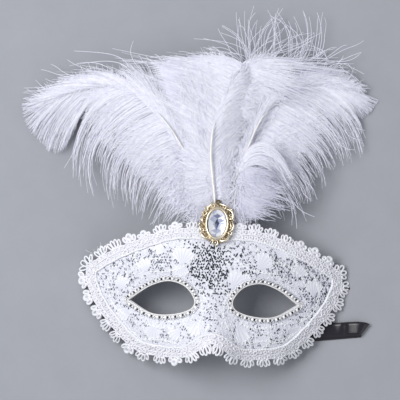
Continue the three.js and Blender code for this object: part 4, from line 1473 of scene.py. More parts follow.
@dataclass
class Plume(Piece):
    """One feather: a quill, a felted vane, barbs that part into wisps, and down over them.

    Heights in its lines are over the table. Real barbs are a tenth of a millimetre thin, which
    wouldn't show, so each barb here stands for a few that cling together.
    """

    name: str
    spine: list
    edges: list
    sides: list
    quill: tuple  # the stretch of the spine where it shows
    quill_radius: float
    proud: float = 1.2
    loft: float = 2
    half_width: float = 0.2
    hairs: list | tuple = ()
    hair_half: float = 0.21
    down: tuple = ()  # spots of down: place, reach and count
    tied_at: tuple = (3, 105)  # where all down points away from
    vane_columns: int = 150
    vane_sinks: float = 0.6
    tuck: float = 0.04  # how far barbs start under the quill, as a share of their guide
    steps: dict = field(default_factory=lambda: {"barb": 9, "fluff": 5, "down": 6, "hair": 12})

    def __post_init__(self) -> None:
        """Draws the lines and moves their heights into the mask's frame."""
        super().__post_init__()
        drop = np.array([0, 0, TABLE])
        self.line = smooth_curve(self.spine, 120) + drop
        self.known = np.concatenate([self.line[::2]] + [smooth_curve(e, 60) + drop for e in self.edges])

    def height(self, plan: Array) -> Array:
        """Height of the plume, from the parts of its lines nearby.

        Args:
            plan: Places, X and Y on the last axis.

        Returns:
            One height for each place.
        """
        softness = 9.0  # square of a distance
        flat = plan.reshape(-1, 2)
        near = (((flat[:, None] - self.known[None, :, :2]) ** 2).sum(axis=2) + softness) ** -2
        return ((near * self.known[:, 2]).sum(axis=1) / near.sum(axis=1)).reshape(plan.shape[:-1])

    def paths(self, row: Array, place: Array, reach: Array, steps: int) -> Array:
        """Middle lines of barbs.

        Args:
            row: The side's barbs, as start, middle and end.
            place: Where in the row each belongs, 0 to 1.
            reach: How far each goes, as a share of its guide.
            steps: Steps in each.

        Returns:
            Barbs by steps + 1 by 3.
        """
        start, middle, tip = np.moveaxis(along(row, place).reshape(-1, 3, 3), 1, 0)[:, :, None]
        control = 2 * middle - (start + tip) / 2
        share = np.linspace(0, 1, steps + 1)[None, :, None]
        share = share * (reach[:, None, None] + self.tuck) - self.tuck
        return (1 - share) ** 2 * start + 2 * share * (1 - share) * control + share**2 * tip

    def add_barbs(self, side: Side, row: Array) -> None:
        """Barbs of one side: most end in the vane, the long ones gather in wisps.

        Args:
            side: The side.
            row: Its row of barbs.
        """
        rng, count, steps = self.rng, side.barbs, self.steps["barb"]
        place = rng.random(count)
        centres = (np.arange(side.wisps) + rng.random(side.wisps)) / side.wisps
        wisp = np.abs(place[:, None] - centres[None]).argmin(axis=1)
        fan, comb = place > side.fan, side.parts_early(place)
        lot = rng.random(count) * np.where(fan, 0.3, 1.0)
        reach = np.where(lot < side.long, np.where(fan, rng.uniform(0.95, 1.02, count),
                                                   rng.uniform(0.86, 1.06, count)),
                         np.where(lot < side.long + side.middling, rng.uniform(0.66, 0.9, count),
                                  rng.uniform(0.3, 0.68, count)))
        reach *= np.where(fan, 1.0, rng.normal(1.0, side.ragged, side.wisps)[wisp])
        far = (np.linspace(0, 1, steps + 1)[None] * reach[:, None])[..., None]
        paths = self.paths(row, place, reach, steps)
        gathered = self.paths(row, centres[wisp], reach, steps)
        wander = rng.normal(0, side.stray, count) * np.where(
            rng.random(count) < 0.2, 1.4, np.where(comb, 0.25, 0.35))
        strayed = self.paths(row, np.clip(place + wander, 0, 1), reach, steps)
        firm = np.where(comb, rng.uniform(0.66, 1.0, count), side.clump * rng.uniform(0.3, 1.0, count))
        pull = firm[:, None, None] * far ** np.where(comb, 0.9, 2.0)[:, None, None]
        paths = paths + (gathered - paths) * pull + (strayed - paths) * far * 0.8
        aside = unit(np.cross(np.gradient(paths, axis=1), UP))
        calm = np.where(fan, 0.3, np.where(comb, 0.5, 0.8))[:, None, None]
        bow = rng.normal(0, 1.6, (count, 1, 1)) * np.sin(math.pi * far * 0.9)
        paths = paths + aside * calm * (bow + rng.normal(0, 2.0, (count, 1, 1)) * far**3)
        layer = rng.uniform(-0.8, 1.0, (count, 1))
        paths[..., 2] += layer * (0.5 + 0.9 * far[..., 0]) * self.loft * 0.55
        self.lay(paths, layer, side.shade)

    def lay(self, paths: Array, layer: Array, shade: float, wide: float = 1) -> None:
        """Lays strands along middle lines.

        Args:
            paths: The middle lines.
            layer: How high each lies, -0.8 to 1: the lower the greyer, as painted shade.
            shade: Their painted shade, a tint as a share of the plume's.
            wide: Their width, as a share of a barb's.
        """
        rng, count = self.rng, len(paths)
        share = np.linspace(0, 1, paths.shape[1])[None]
        direction = unit(np.gradient(paths, axis=1))
        aside = unit(np.cross(direction, UP))
        roll = rng.normal(0, 0.4, (count, 1))[..., None]
        across = aside * np.cos(roll) + np.cross(aside, direction) * np.sin(roll)
        halves = self.half_width * wide * rng.uniform(0.7, 1.3, (count, 1)) * (1 - 0.55 * share**2)
        tone = np.clip(0.62 + 0.21 * (layer + 0.8) + rng.normal(0, 0.08, (count, 1)), 0, 1)
        self.forms.strands(paths, halves, across, tone * shade + 0 * share)

    def curls(self, start: Array, ahead: Array, aside: Array, lengths: tuple,
              bend: float, steps: int) -> Array:
        """Short strands that curl to one side.

        Args:
            start: Where each starts.
            ahead: Its first direction.
            aside: The direction it curls to, or away from.
            lengths: The least and the greatest length.
            bend: How much they curl, as a deviation.
            steps: Steps in each.

        Returns:
            Their middle lines.
        """
        count = len(start)
        length = self.rng.uniform(*lengths, (count, 1, 1))
        share = np.linspace(0, 1, steps + 1)[None, :, None]
        curl = aside[:, None] * self.rng.normal(0, bend, (count, 1, 1)) * share**2
        return start[:, None] + (ahead[:, None] * share + curl) * length

    def add_fluff(self, side: Side, row: Array) -> None:
        """Short curly down over the vane of one side.

        Args:
            side: The side.
            row: Its row of barbs.
        """
        rng, count, steps = self.rng, side.fluff, self.steps["fluff"]
        place = rng.random(count) * side.fan
        # Nearly half of what would lie on a comb goes nearer the root, to leave its gaps open
        moved = side.parts_early(place) & (place * 1000 % 1 < 0.45)
        place *= np.where(moved, 0.6, 1.0)
        base = self.paths(row, place, rng.uniform(0.12, side.down, count), 8)
        start, ahead = base[:, -1], unit(base[:, -1] - base[:, -2])
        aside = unit(np.cross(ahead, UP))
        turn = rng.normal(0, 0.4, (count, 1))
        ahead = ahead * np.cos(turn) + aside * np.sin(turn)
        paths = self.curls(start, ahead, aside, (3, 10), 0.3, steps)
        arch = 0.5 + np.sin(math.pi * np.linspace(0, 1, steps + 1))
        paths[..., 2] += rng.uniform(0, 0.6, (count, 1)) * arch
        self.lay(paths, rng.uniform(0.2, 1.0, (count, 1)), side.shade, 0.8)

    def add_down(self) -> None:
        """Curly down round the given spots, where the feathers are tied in together."""
        rng, droop, steps = self.rng, 2.0, self.steps["down"]
        for x, y, reach, count in self.down:
            plan = np.array([x, y]) + rng.normal(0, reach / 2, (count, 2))
            away = plan - np.array(self.tied_at)
            turn = np.arctan2(away[:, 1], away[:, 0]) + rng.normal(0, 0.9, count)
            ahead = np.column_stack([heading(turn), rng.normal(0.1, 0.1, count)])
            start = np.column_stack([plan, self.height(plan) + rng.uniform(0, 2.5, count)])
            paths = self.curls(start, ahead, np.cross(ahead, UP), (4, 12), 0.45, steps)
            paths[..., 2] -= np.linspace(0, 1, steps + 1) ** 2 * droop
            self.lay(paths, rng.uniform(-0.2, 1.0, (count, 1)), 1.0, 0.8)

    def add_vane(self, side: Side, row: Array) -> None:
        """The felted inner part of one side, where the barbs lie too close to part.

        Args:
            side: The side.
            row: Its row of barbs.
        """
        count = self.vane_columns
        place = np.linspace(0, 1, count)
        reach = side.vane * (1 + 0.2 * self.rng.random(count) * (np.arange(count) % 2))
        reach *= np.where(side.parts_early(place), 0.35, 1.0)
        sheet = self.paths(row, place, reach, 8)
        sheet[..., 2] -= self.vane_sinks
        # Painted shade: the felted vane is tinted a little greyer
        self.forms.grid(sheet, tone=0.8 * side.shade)

    def add_quill(self) -> None:
        """The quill, proud of the barbs for as far as it shows."""
        run = np.linspace(0, 1, 60)
        first, last = self.quill
        path = along(self.line, first + (last - first) * run)
        radius = self.quill_radius * (1 - 0.3 * run) * (1 - run**12) + 0.05
        sunk_root = 2.4 * (run < 0.02)
        path[:, 2] += self.proud + self.loft * 0.5 * np.sin(math.pi * run) - sunk_root
        self.forms.tube(path, radius, 7, finish=QUILL_HORN)

    def add_hairs(self) -> None:
        """Long stray barbs that leave the outline one by one."""
        steps = self.steps["hair"]
        plan = np.array(self.hairs, float).reshape(-1, 3, 2)
        high = self.height(plan) + np.array([0.8, 1.5, 0.8])
        high[:, 1:] += self.rng.uniform(0, 2.5, (len(plan), 1))
        row = np.concatenate([plan, high[..., None]], axis=2).reshape(-1, 9)
        paths = self.paths(row, np.linspace(0, 1, len(row)), np.ones(len(row)), steps)
        share = np.linspace(0, 1, steps + 1)[None, :, None]
        aside = unit(np.cross(np.gradient(paths, axis=1), UP))
        wiggle = np.sin(share * self.rng.uniform(4, 10, (len(row), 1, 1))) * share
        paths = paths + aside * wiggle * 0.7
        # Each is two crossed strands, so that it shows from the side too
        across = unit(np.cross(np.gradient(paths, axis=1), UP))
        over = unit(np.cross(across, np.gradient(paths, axis=1)))
        halves = self.hair_half * (1 - 0.5 * share[..., 0]) + 0 * paths[..., 0]
        self.forms.strands(paths, halves, across, 0.95)
        self.forms.strands(paths, halves * 0.8, over, 0.8)

    def build(self) -> None:
        """The plume."""
        for side in self.sides:
            plan = np.array(side.guides, float).reshape(-1, 3, 2)
            high = self.height(plan) + side.lift
            high[:, 1] += self.loft
            row = smooth_curve(np.concatenate([plan, high[..., None]], axis=2).reshape(-1, 9), 200)
            if side.vane:
                self.add_vane(side, row)
            self.add_barbs(side, row)
            if side.fluff:
                self.add_fluff(side, row)
        if self.hairs:
            self.add_hairs()
        self.add_down()
        self.add_quill()
        self.forms.keep(f"{self.name}_barbs", [PLUME_DOWN, QUILL_HORN], Slot.FEATHER, self.name)


# Guide barbs of the plumes' sides, in plan: where each starts, passes and ends
BACK_LOW = [
    (2, 50, -4, 58, -9, 70), (8, 90, -3, 105, -10, 125), (15, 135, 3, 150, -6, 164),
    (19, 155, 10, 165, 2, 172)]
BACK_HIGH = [
    (2, 50, 10, 58, 16, 70), (8, 90, 22, 105, 34, 120), (15, 135, 40, 148, 66, 156),
    (20, 160, 44, 166, 70, 168)]
RIGHT_TOP = [
    (12, 77, 13, 91, 15, 106), (14, 92, 18, 107, 23, 124), (20, 107, 26, 126, 33, 141),
    (26, 120, 32, 138, 44, 154), (32, 131, 40, 147, 54, 161), (40, 140, 50, 154, 63, 166),
    (49, 147, 58, 157, 73, 165), (58, 151, 68, 159, 83, 162), (67, 153, 78, 158, 92, 159),
    (77, 152, 87, 156, 99, 152), (85, 151, 96, 152, 108, 146)]
RIGHT_LOW = [
    (13, 76, 18, 68, 25, 59), (13, 83, 25, 72, 36, 62), (15, 93, 33, 78, 47, 65), (18, 103, 42, 87, 56, 66),
    (23, 113, 49, 95, 62, 76), (27, 123, 55, 107, 70, 86), (32, 132, 62, 114, 76, 94),
    (38, 139, 68, 121, 83, 101), (46, 145, 75, 130, 91, 106), (55, 150, 82, 136, 96, 112),
    (64, 153, 88, 139, 102, 121), (71, 153, 87, 144, 94, 133), (77, 152, 91, 143, 100, 131),
    (82, 151, 97, 142, 107, 136), (87, 152, 101, 148, 112, 144)]
LEFT_LOW = [
    (-8, 70, -12, 63, -17, 55), (-9, 75, -19, 65, -28, 52), (-13, 84, -29, 69, -37, 51),
    (-18, 93, -36, 76, -46, 54), (-24, 103, -44, 84, -53, 56), (-31, 111, -55, 93, -60, 65),
    (-37, 119, -62, 99, -69, 71), (-43, 127, -71, 106, -77, 77), (-50, 134, -79, 111, -84, 84),
    (-58, 140, -85, 116, -93, 87), (-67, 144, -91, 124, -102, 90), (-76, 147, -88, 140, -92, 133),
    (-79, 147, -91, 140, -95, 134), (-82, 147, -99, 128, -110, 102), (-90, 146, -109, 127, -119, 101),
    (-98, 145, -116, 129, -127, 109), (-107, 143, -122, 131, -135, 117), (-114, 141, -127, 133, -139, 126),
    (-119, 139, -130, 135, -140, 133)]
LEFT_TOP = [
    (-7, 71, -10, 94, -16, 115), (-13, 84, -17, 108, -26, 131), (-20, 95, -28, 124, -38, 152),
    (-28, 108, -40, 136, -53, 161), (-37, 119, -51, 145, -68, 162), (-45, 129, -65, 149, -86, 158),
    (-56, 139, -76, 153, -99, 156), (-69, 145, -88, 152, -111, 151), (-82, 147, -100, 149, -123, 145),
    (-93, 146, -111, 144, -132, 141), (-104, 144, -121, 140, -137, 136), (-114, 141, -126, 137, -139, 133)]
CENTRE_LEFT = [
    (-2, 71, -7, 66, -12, 61), (-3, 77, -12, 72, -20, 69), (-4, 85, -15, 84, -26, 83),
    (-5, 94, -17, 97, -31, 101), (-6, 105, -16, 112, -27, 117), (-6, 115, -20, 124, -39, 134),
    (-4, 127, -21, 138, -52, 150), (-1, 137, -21, 149, -57, 158), (3, 146, -21, 157, -59, 163),
    (6, 154, -19, 162, -55, 167), (10, 160, -14, 165, -46, 168), (13, 165, -5, 168, -26, 168),
    (14, 167, 0, 169, -15, 168)]
CENTRE_RIGHT = [
    (-1, 71, 4, 72, 10, 75), (-2, 77, 4, 81, 11, 86), (-3, 85, 6, 93, 16, 101), (-4, 94, 8, 106, 20, 117),
    (-5, 105, 9, 120, 23, 132), (-5, 115, 10, 131, 25, 144), (-3, 127, 11, 141, 26, 153),
    (0, 137, 12, 150, 25, 162), (6, 150, 14, 159, 24, 166)]
CENTRE_TOP = [
    (14, 166, 28, 169, 46, 169), (15, 166, 35, 168, 68, 168), (15, 166, 40, 165, 73, 162),
    (15, 164, 39, 158, 65, 151), (14, 158, 32, 150, 53, 141), (11, 151, 24, 145, 40, 136),
    (10, 144, 21, 137, 33, 127), (8, 134, 18, 128, 27, 118)]
CURL_LOW = [
    (16, 92, 28, 92, 42, 88), (15, 87, 28, 86, 45, 81), (14, 83, 30, 80, 51, 75), (14, 79, 29, 74, 51, 67),
    (13, 75, 25, 67, 43, 62), (13, 70, 21, 63, 32, 59), (14, 66, 19, 61, 25, 55)]
CURL_TOP = [
    (16, 90, 28, 96, 41, 88), (16, 93, 31, 100, 46, 88), (17, 96, 32, 103, 49, 88),
    (17, 99, 33, 107, 52, 87), (17, 101, 35, 110, 55, 83)]
# Single long barbs that leave the outline, likewise
BACK_HAIRS = [
    (15, 169, 4, 179, -13, 184), (13, 169, 0, 175, -13, 177), (14, 169, 2, 177, -8, 177),
    (8, 170, 3, 181, -3, 191), (18, 173, 12, 185, 0, 194), (15, 169, 12, 182, 10, 203),
    (18, 170, 14, 187, 11, 198), (19, 171, 16, 186, 16, 204), (21, 169, 19, 190, 21, 208),
    (20, 169, 28, 187, 37, 202), (24, 170, 23, 183, 25, 198), (25, 172, 26, 184, 28, 194),
    (28, 171, 33, 187, 42, 207), (30, 171, 37, 183, 44, 195), (32, 171, 31, 183, 38, 196),
    (36, 172, 37, 189, 31, 205), (37, 172, 37, 190, 39, 207), (38, 172, 41, 188, 34, 201),
    (49, 174, 47, 189, 39, 204), (50, 178, 46, 193, 34, 200), (53, 172, 53, 184, 46, 198),
    (51, 172, 53, 185, 51, 197), (55, 171, 60, 185, 57, 206), (57, 171, 61, 184, 57, 204),
    (55, 171, 58, 183, 65, 191), (60, 172, 64, 183, 64, 191), (25, 173, 48, 179, 70, 190),
    (35, 169, 46, 182, 57, 191), (67, 172, 70, 188, 67, 205), (67, 175, 69, 191, 71, 205),
    (68, 170, 67, 177, 62, 184), (62, 170, 72, 177, 81, 181), (70, 170, 85, 178, 100, 186),
    (72, 169, 86, 172, 98, 178), (71, 161, 82, 168, 86, 175), (71, 162, 84, 169, 101, 162),
    (73, 161, 87, 164, 102, 150), (76, 164, 88, 156, 102, 155), (48, 171, 42, 178, 45, 184),
    (44, 170, 55, 179, 64, 186), (16, 170, 7, 174, -5, 173), (34, 171, 43, 179, 55, 182),
    (41, 171, 49, 177, 60, 180), (63, 169, 69, 175, 69, 179), (65, 166, 70, 172, 74, 178),
    (52, 170, 59, 177, 70, 180), (21, 172, 28, 179, 40, 185), (58, 169, 67, 172, 80, 171)]
RIGHT_HAIRS = [
    (60, 87, 66, 81, 71, 73), (58, 82, 62, 75, 66, 72), (51, 75, 59, 65, 69, 60), (50, 77, 53, 69, 56, 62),
    (88, 130, 95, 125, 103, 122), (88, 123, 93, 118, 101, 115), (81, 116, 89, 110, 96, 108),
    (76, 164, 87, 162, 95, 153), (79, 161, 88, 157, 100, 155)]
LEFT_HAIRS = [
    (-65, 162, -78, 170, -104, 172), (-67, 162, -82, 165, -107, 162), (-81, 157, -95, 159, -108, 166),
    (-88, 154, -109, 154, -127, 158), (-95, 152, -109, 156, -120, 162), (-92, 153, -112, 150, -124, 151),
    (-98, 149, -116, 145, -139, 145), (-112, 142, -121, 144, -131, 150), (-114, 140, -126, 140, -137, 144),
    (-116, 138, -127, 137, -139, 137), (-58, 161, -63, 169, -63, 180), (-51, 162, -55, 166, -59, 170),
    (-44, 162, -49, 166, -53, 170), (-37, 163, -42, 167, -47, 171), (-93, 154, -99, 155, -103, 157),
    (-78, 160, -91, 164, -102, 163), (-104, 144, -122, 140, -139, 141), (-104, 143, -121, 137, -139, 137),
    (-106, 142, -124, 135, -140, 134), (-104, 141, -122, 134, -139, 130), (-100, 144, -119, 143, -138, 142),
    (-92, 124, -98, 110, -108, 89), (-38, 66, -40, 59, -46, 51), (-86, 122, -92, 106, -98, 86)]
CENTRE_HAIRS = [
    (8, 163, -8, 170, -24, 172), (10, 165, -4, 171, -18, 174), (5, 162, -14, 168, -33, 170),
    (11, 166, 0, 172, -9, 174), (2, 160, -20, 167, -42, 170), (-4, 158, -24, 167, -50, 168),
    (12, 167, 4, 170, -5, 171), (0, 163, -14, 170, -30, 173), (-8, 156, -30, 166, -56, 166),
    (6, 164, -6, 170, -20, 170), (4, 162, -10, 169, -28, 168), (-12, 156, -36, 164, -64, 163),
    (14, 164, 10, 169, 3, 174), (13, 163, 5, 170, -4, 175), (15, 165, 12, 169, 8, 173),
    (17, 165, 22, 169, 30, 174), (18, 164, 28, 170, 40, 172), (16, 165, 18, 170, 23, 175),
    (20, 163, 36, 170, 54, 173), (10, 162, 0, 170, -12, 173), (24, 160, 44, 168, 64, 174)]


def plumes() -> list[Plume]:
    """The five plumes, from the lowest to the one on top.

    Returns:
        The plumes, not yet built.
    """
    rng = np.random.default_rng(3)
    # Beside each long hair of the back plume lies a shorter one
    shorter = []
    for x0, y0, x1, y1, x2, y2 in BACK_HAIRS:
        shift, share = rng.normal(0, 3.5, 2), rng.uniform(0.55, 0.95)
        shorter.append((x0 + shift[0], y0 + shift[1] / 2, x1 + shift[0], y1,
                        x1 + (x2 - x1) * share + shift[1], y1 + (y2 - y1) * share))
    back = Plume(
        "plume_back", seed=31, quill=(0, 0.7), quill_radius=0.5,
        spine=[(1, 41, 28), (5, 72, 23.5), (11, 112, 17), (17, 148, 11), (22, 170, 8), (33, 192, 6)],
        edges=[[(-10, 152, 12), (-13, 172, 9), (-8, 182, 8), (0, 191, 7), (12, 201, 6), (24, 205, 5)],
               [(96, 148, 4), (96, 160, 4), (92, 174, 4), (78, 182, 4), (66, 197, 4), (46, 203, 5)]],
        sides=[Side(BACK_LOW, barbs=300, fluff=0, wisps=20),
               Side(BACK_HIGH, barbs=400, fluff=0, wisps=20)],
        hairs=BACK_HAIRS + shorter)
    right = Plume(
        "plume_right", seed=32, quill=(0.17, 0.53), quill_radius=0.7, proud=5.2,
        down=((19, 122, 12, 180), (27, 138, 10, 140)),
        spine=[(6, 43, 30.6), (8.5, 70, 27.6), (18, 100, 24), (31.5, 131, 18.5), (55, 151, 12.5),
               (85, 150, 6.5), (106, 140, 1.4)],
        edges=[[(4.8, 43, 30.4), (3.5, 74, 26.8), (7, 112, 22.5), (20, 146, 17), (52, 166, 11.5),
                (86, 161, 5.5), (109.5, 146, 0)],
               [(7.2, 43, 30.4), (13, 51, 27.6), (26, 63, 26), (54, 63, 22.5), (69, 78, 17.5),
                (87, 102, 10), (101, 118, 4.5), (111, 136, 0)]],
        sides=[Side(RIGHT_TOP, lift=0.8, vane=0.6, long=0.28),
               Side(RIGHT_LOW, barbs=1900, fluff=2700, wisps=64, fan=0.8, comb=(0.4, 0.8), long=0.15,
                    middling=0.12, down=0.5)],
        hairs=RIGHT_HAIRS)
    left = Plume(
        "plume_left", seed=33, quill=(0.3, 0.5), quill_radius=0.5, proud=3.2,
        spine=[(-6, 43, 31.8), (-9, 66, 30.2), (-23, 102, 28), (-45, 131, 24), (-74, 147, 13),
               (-103, 143, 6.5), (-129, 129, 1.4)],
        edges=[[(-7.4, 43, 31.6), (-28, 58, 28), (-52, 61, 24.5), (-75, 76, 18.5), (-98, 87, 11),
                (-121, 102, 4.5), (-138, 124, 0)],
               [(-4.8, 43, 31.6), (-4, 70, 29), (-11, 108, 25), (-30, 143, 19), (-68, 163, 12),
                (-106, 153, 5.5), (-138, 138, 0)]],
        sides=[Side(LEFT_LOW, barbs=2200, fluff=2800, wisps=60, fan=0.7, comb=(0.34, 0.6), clump=0.95,
                    long=0.15, middling=0.12, down=0.5),
               Side(LEFT_TOP, lift=0.6, vane=0.65, long=0.3)],
        hairs=LEFT_HAIRS)
    centre = Plume(
        "plume_centre", seed=34, quill_radius=0.82, quill=(0, 0.66), proud=2.3,
        down=((-12, 72, 12, 260), (-10, 60, 10, 160), (-20, 82, 12, 200), (8, 72, 8, 160)),
        spine=[(0, 43, 32.2), (-1.6, 70, 32.8), (-5.3, 105, 31.5), (-2, 133, 27.5), (4, 152, 23.5),
               (12, 165, 21)],
        edges=[[(-1.4, 43, 32), (-12, 76, 32), (-31, 104, 29.5), (-52, 128, 26), (-80, 154, 18),
                (-62, 166, 16), (-28, 171, 17), (14, 169, 20)],
               [(1.4, 43, 32), (9, 74, 31), (16, 101, 28.5), (22, 124, 22.5), (25, 142, 20)],
               [(16, 100, 22.5), (24, 116, 19.5), (31.5, 131, 16), (38, 138, 14.5)],
               [(26, 153, 19), (26, 166, 19), (46, 172, 16), (68, 170, 14.5), (73, 160, 13.5),
                (65, 151, 15), (45, 138, 19)]],
        sides=[Side(CENTRE_LEFT, barbs=2200, fluff=3400, ragged=0.15, clump=0.5, vane=0.8, long=0.24),
               Side(CENTRE_RIGHT, barbs=1300, fluff=2400, clump=0.4, vane=0.7, long=0.06),
               Side(CENTRE_TOP, barbs=1400, fluff=1700, ragged=0.15, clump=0.5, vane=0.4, lift=-0.5,
                    long=0.2)],
        hairs=CENTRE_HAIRS)
    curl = Plume(
        "plume_curl", seed=35, quill_radius=0.3, quill=(0, 0.4),
        down=((13, 62, 9, 220), (14, 78, 10, 260), (17, 96, 9, 160)),
        spine=[(11.5, 43, 31), (12.2, 56, 31.4), (13.6, 82, 35.6), (19, 99, 37), (29, 103.5, 37),
               (39, 98, 36), (47, 82, 33.5)],
        edges=[[(10.3, 43, 30.8), (10.2, 57, 31.2), (11, 84, 35.4), (17, 103, 36.2), (30, 108, 36.2),
                (44, 100, 35), (51, 82, 32.5)],
               [(12.7, 43, 30.8), (14.5, 57, 31.2), (22, 63, 33.4), (29, 64, 34), (36, 65, 33.4),
                (42, 66, 32.6), (48, 70, 31.6)]],
        sides=[Side(CURL_LOW, barbs=1000, fluff=700, wisps=26, clump=0.6, vane=0.6, shade=0.62),
               Side(CURL_TOP, barbs=190, fluff=0, wisps=8, clump=0.5, long=0.5, vane=0, lift=0.8)])
    return [back, right, left, centre, curl]


# Tie ribbons


@dataclass
class TieRibbon(Piece):
    """One black satin tie, glued in at the temple and folded away under the cheek.

    Its lines are lists of rows: a middle point, and which way the width runs there.
    """

    hand: Hand
    width: float = 10
    length: float = 350
    thickness: float = 0.3
    temple: tuple = (76, -1)
    temple_gap: float = 2.6  # under the shell's outer face where it's glued
    shell_gap: float = 2.2  # and all the way down from there
    hank_ends: tuple = (67.5, 26.5)
    hank_y: float = -25
    fold_pitch: float = 0.62
    fold_bulge: float = 1.6
    layers: dict = field(default_factory=lambda: {Hand.LEFT: 6, Hand.RIGHT: 5})
    tail_start: tuple = (70, -20.5)
    crease_x: float = 91.5
    rises_from: float = 95
    # The tail's turn, where it folds back over itself: heights are over the table
    tail_turn: tuple = (((106.6, -17.6, 3.65), (0.35, 0.9, 0.1)), ((108.2, -18.2, 2.45), (0.55, 0.75, 0.0)))
    tail_back: tuple = (104.5, -18.8)

    def path(self) -> list:
        """The run from the temple down to the hank.

        Returns:
            Its rows.
        """
        x0, y0 = self.temple
        top, foot = FACE.spot(x0, y0) - self.temple_gap, TABLE + 3.8
        rows = []
        for share in np.linspace(0, 1, 12):
            x, y = x0 - 10 * share, y0 - 21 * share
            z = top + (foot - top) * (1 - (1 - share) ** 1.5)
            rows.append(((x, y, min(z, FACE.spot(x, y) - self.shell_gap)), (0.9, -0.43, 0)))
        return rows

    def hank(self) -> list:
        """Folds back and forth on the table, one on the other.

        Returns:
            Their rows.
        """
        along_y, count, rows = (0, 1, 0), self.layers[self.hand], []
        for layer in range(count):
            height = TABLE + 0.5 + self.fold_pitch * (count - 1 - layer)
            start, end = self.hank_ends if layer % 2 == 0 else self.hank_ends[::-1]
            y = self.hank_y + 0.35 * math.sin(layer * 2.1)
            for share in np.linspace(0.0, 1, 14):
                z = height + 0.12 * math.sin(share * 9 + layer)
                rows.append(((start + (end - start) * share, y, z), along_y))
            bulge = self.fold_bulge if layer % 2 else -self.fold_bulge
            rows.append(((end + bulge, y, height - self.fold_pitch / 2), along_y))
        return rows

    def tail(self) -> list:
        """The loop that peeps out past the border: out, turned over, and back in.

        Returns:
            Its rows.
        """
        low, rows = TABLE + 0.45, []
        for share in np.linspace(0, 1, 22):
            x, y = self.tail_start[0] + 33 * share, self.tail_start[1] + 3.0 * share
            crease = math.exp(-(((x - self.crease_x) / 3.0) ** 2))
            turn = -0.08 * share
            rows.append(((x, y, low + 0.9 + crease + 0.27 * max(0.0, x - self.rises_from)),
                         (math.sin(turn), math.cos(turn), 0.12 * crease)))
        rows += [((x, y, TABLE + z), across) for (x, y, z), across in self.tail_turn]
        for share in np.linspace(0, 1, 12):
            x, y = self.tail_back[0] - 36 * share, self.tail_back[1] - 4.3 * share
            rows.append(((x, y, low), (-0.12, 0.99, 0)))
        return rows

    def build(self) -> None:
        """The ribbon; only the right one has a tail, since the left one doesn't show."""
        rows = self.path() + self.hank()
        if self.hand is Hand.RIGHT:
            rows += self.tail()
        mirror = np.array([self.hand.value, 1, 1])
        middle = np.array([row[0] for row in rows]) * mirror
        across = unit(np.array([row[1] for row in rows], float)) * mirror
        over = UP * self.thickness / 2
        wide = np.linspace(-0.5, 0.5, 5)[None, :, None] * self.width * across[:, None]
        top, low = (middle[:, None] + wide + offset for offset in (over, -over))
        self.forms.grid(np.concatenate([top, low[:, ::-1]], axis=1), closed=True)
        word = self.hand.name.lower()
        made = self.forms.keep(f"satin_tie_{word}", [BLACK_SATIN], Slot.SATIN, f"ribbon_{word}")


# Stage


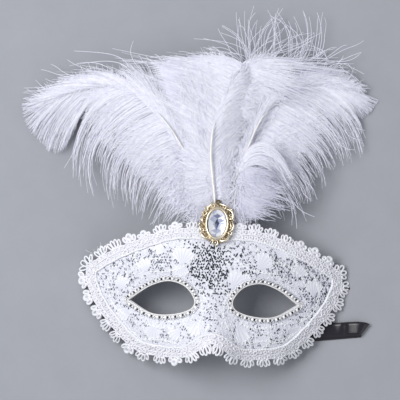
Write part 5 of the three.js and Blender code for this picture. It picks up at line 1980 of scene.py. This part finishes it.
@dataclass
class Studio:
    """Floor, camera and soft lights, in metres, with the view of a picture of the mask."""

    distance: float = 2.2
    plane: float = 0.025  # height at which the picture's scale holds
    sensor: float = 36
    pixels: int = 400
    mm_per_pixel: float = 0.70
    roll: float = math.radians(1.9)
    eyes_pixel: tuple = (213.5, 300.0)  # where the point between the eyes shows
    floor_reach: float = 4
    floor_height: float = -0.0003
    # The lamps: name, place, size and power
    lamps: tuple = (("key", (-0.85, 0.3, 1.4), 0.9, 23.0), ("fill", (1.2, -0.5, 1.0), 1.2, 4.0))
    sky_colour: str = "#e3e6ee"
    sky_strength: float = 0.5

    def camera(self) -> None:
        """The camera, straight over the mask and rolled as the picture is."""
        half = self.pixels / 2
        across, up = half - self.eyes_pixel[0], self.eyes_pixel[1] - half
        centre = Matrix.Rotation(self.roll, 2) @ Vector((across, up)) * self.mm_per_pixel * MM
        lens = bpy.data.cameras.new("camera")
        lens.sensor_width = self.sensor
        lens.lens = self.sensor * self.distance / (self.pixels * self.mm_per_pixel * MM)
        lens.clip_end = 20.0
        made = bpy.data.objects.new("camera", lens)
        made.location = (
            centre.x + BETWEEN_EYES[0] * MM, centre.y + BETWEEN_EYES[1] * MM, self.plane + self.distance)
        made.rotation_euler = (0.0, 0.0, self.roll)
        bpy.context.scene.collection.objects.link(made)
        bpy.context.scene.camera = made

    def floor(self) -> None:
        """A plain pale floor."""
        mesh = bpy.data.meshes.new("floor")
        reach = self.floor_reach
        corners = [(-reach, -reach), (reach, -reach), (reach, reach), (-reach, reach)]
        mesh.from_pydata([(x, y, self.floor_height) for x, y in corners], [], [(0, 1, 2, 3)])
        mesh.materials.append(FLOOR_PAPER.make())
        made = bpy.data.objects.new("floor", mesh)
        bpy.context.scene.collection.objects.link(made)

    def lights(self) -> None:
        """A key light from the upper left, a fill from the right and an even sky."""
        for name, place, size, power in self.lamps:
            lamp = bpy.data.lights.new(name, "AREA")
            lamp.size, lamp.energy = size, power
            made = bpy.data.objects.new(name, lamp)
            made.location = place
            made.rotation_euler = (-Vector(place)).to_track_quat("-Z", "Y").to_euler()
            bpy.context.scene.collection.objects.link(made)
        world = bpy.data.worlds.new("studio")
        world.use_nodes = True
        sky = world.node_tree.nodes["Background"]
        sky.inputs["Color"].default_value = linear(self.sky_colour)
        sky.inputs["Strength"].default_value = self.sky_strength
        bpy.context.scene.world = world
        bpy.context.scene.view_settings.view_transform = "Standard"


def main() -> None:
    """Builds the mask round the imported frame, in order."""
    logging.basicConfig(level=logging.INFO, format="%(name)s %(message)s")
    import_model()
    studio = Studio()
    studio.camera()
    studio.floor()
    studio.lights()
    for hand in Hand:
        TieRibbon(hand).build()
    skin = MaskSkin()
    skin.shell()
    skin.cloth()
    PetalWork().build()
    OpenNet().build()
    LaceBorder().build()
    for hand in Hand:
        EyeBraid(hand).build()
    for plume in plumes():
        plume.build()
    brooch = Brooch()
    brooch.setting()
    brooch.foil()
    brooch.stone()
    bpy.context.view_layer.update()


if __name__ == "__main__":
    main()
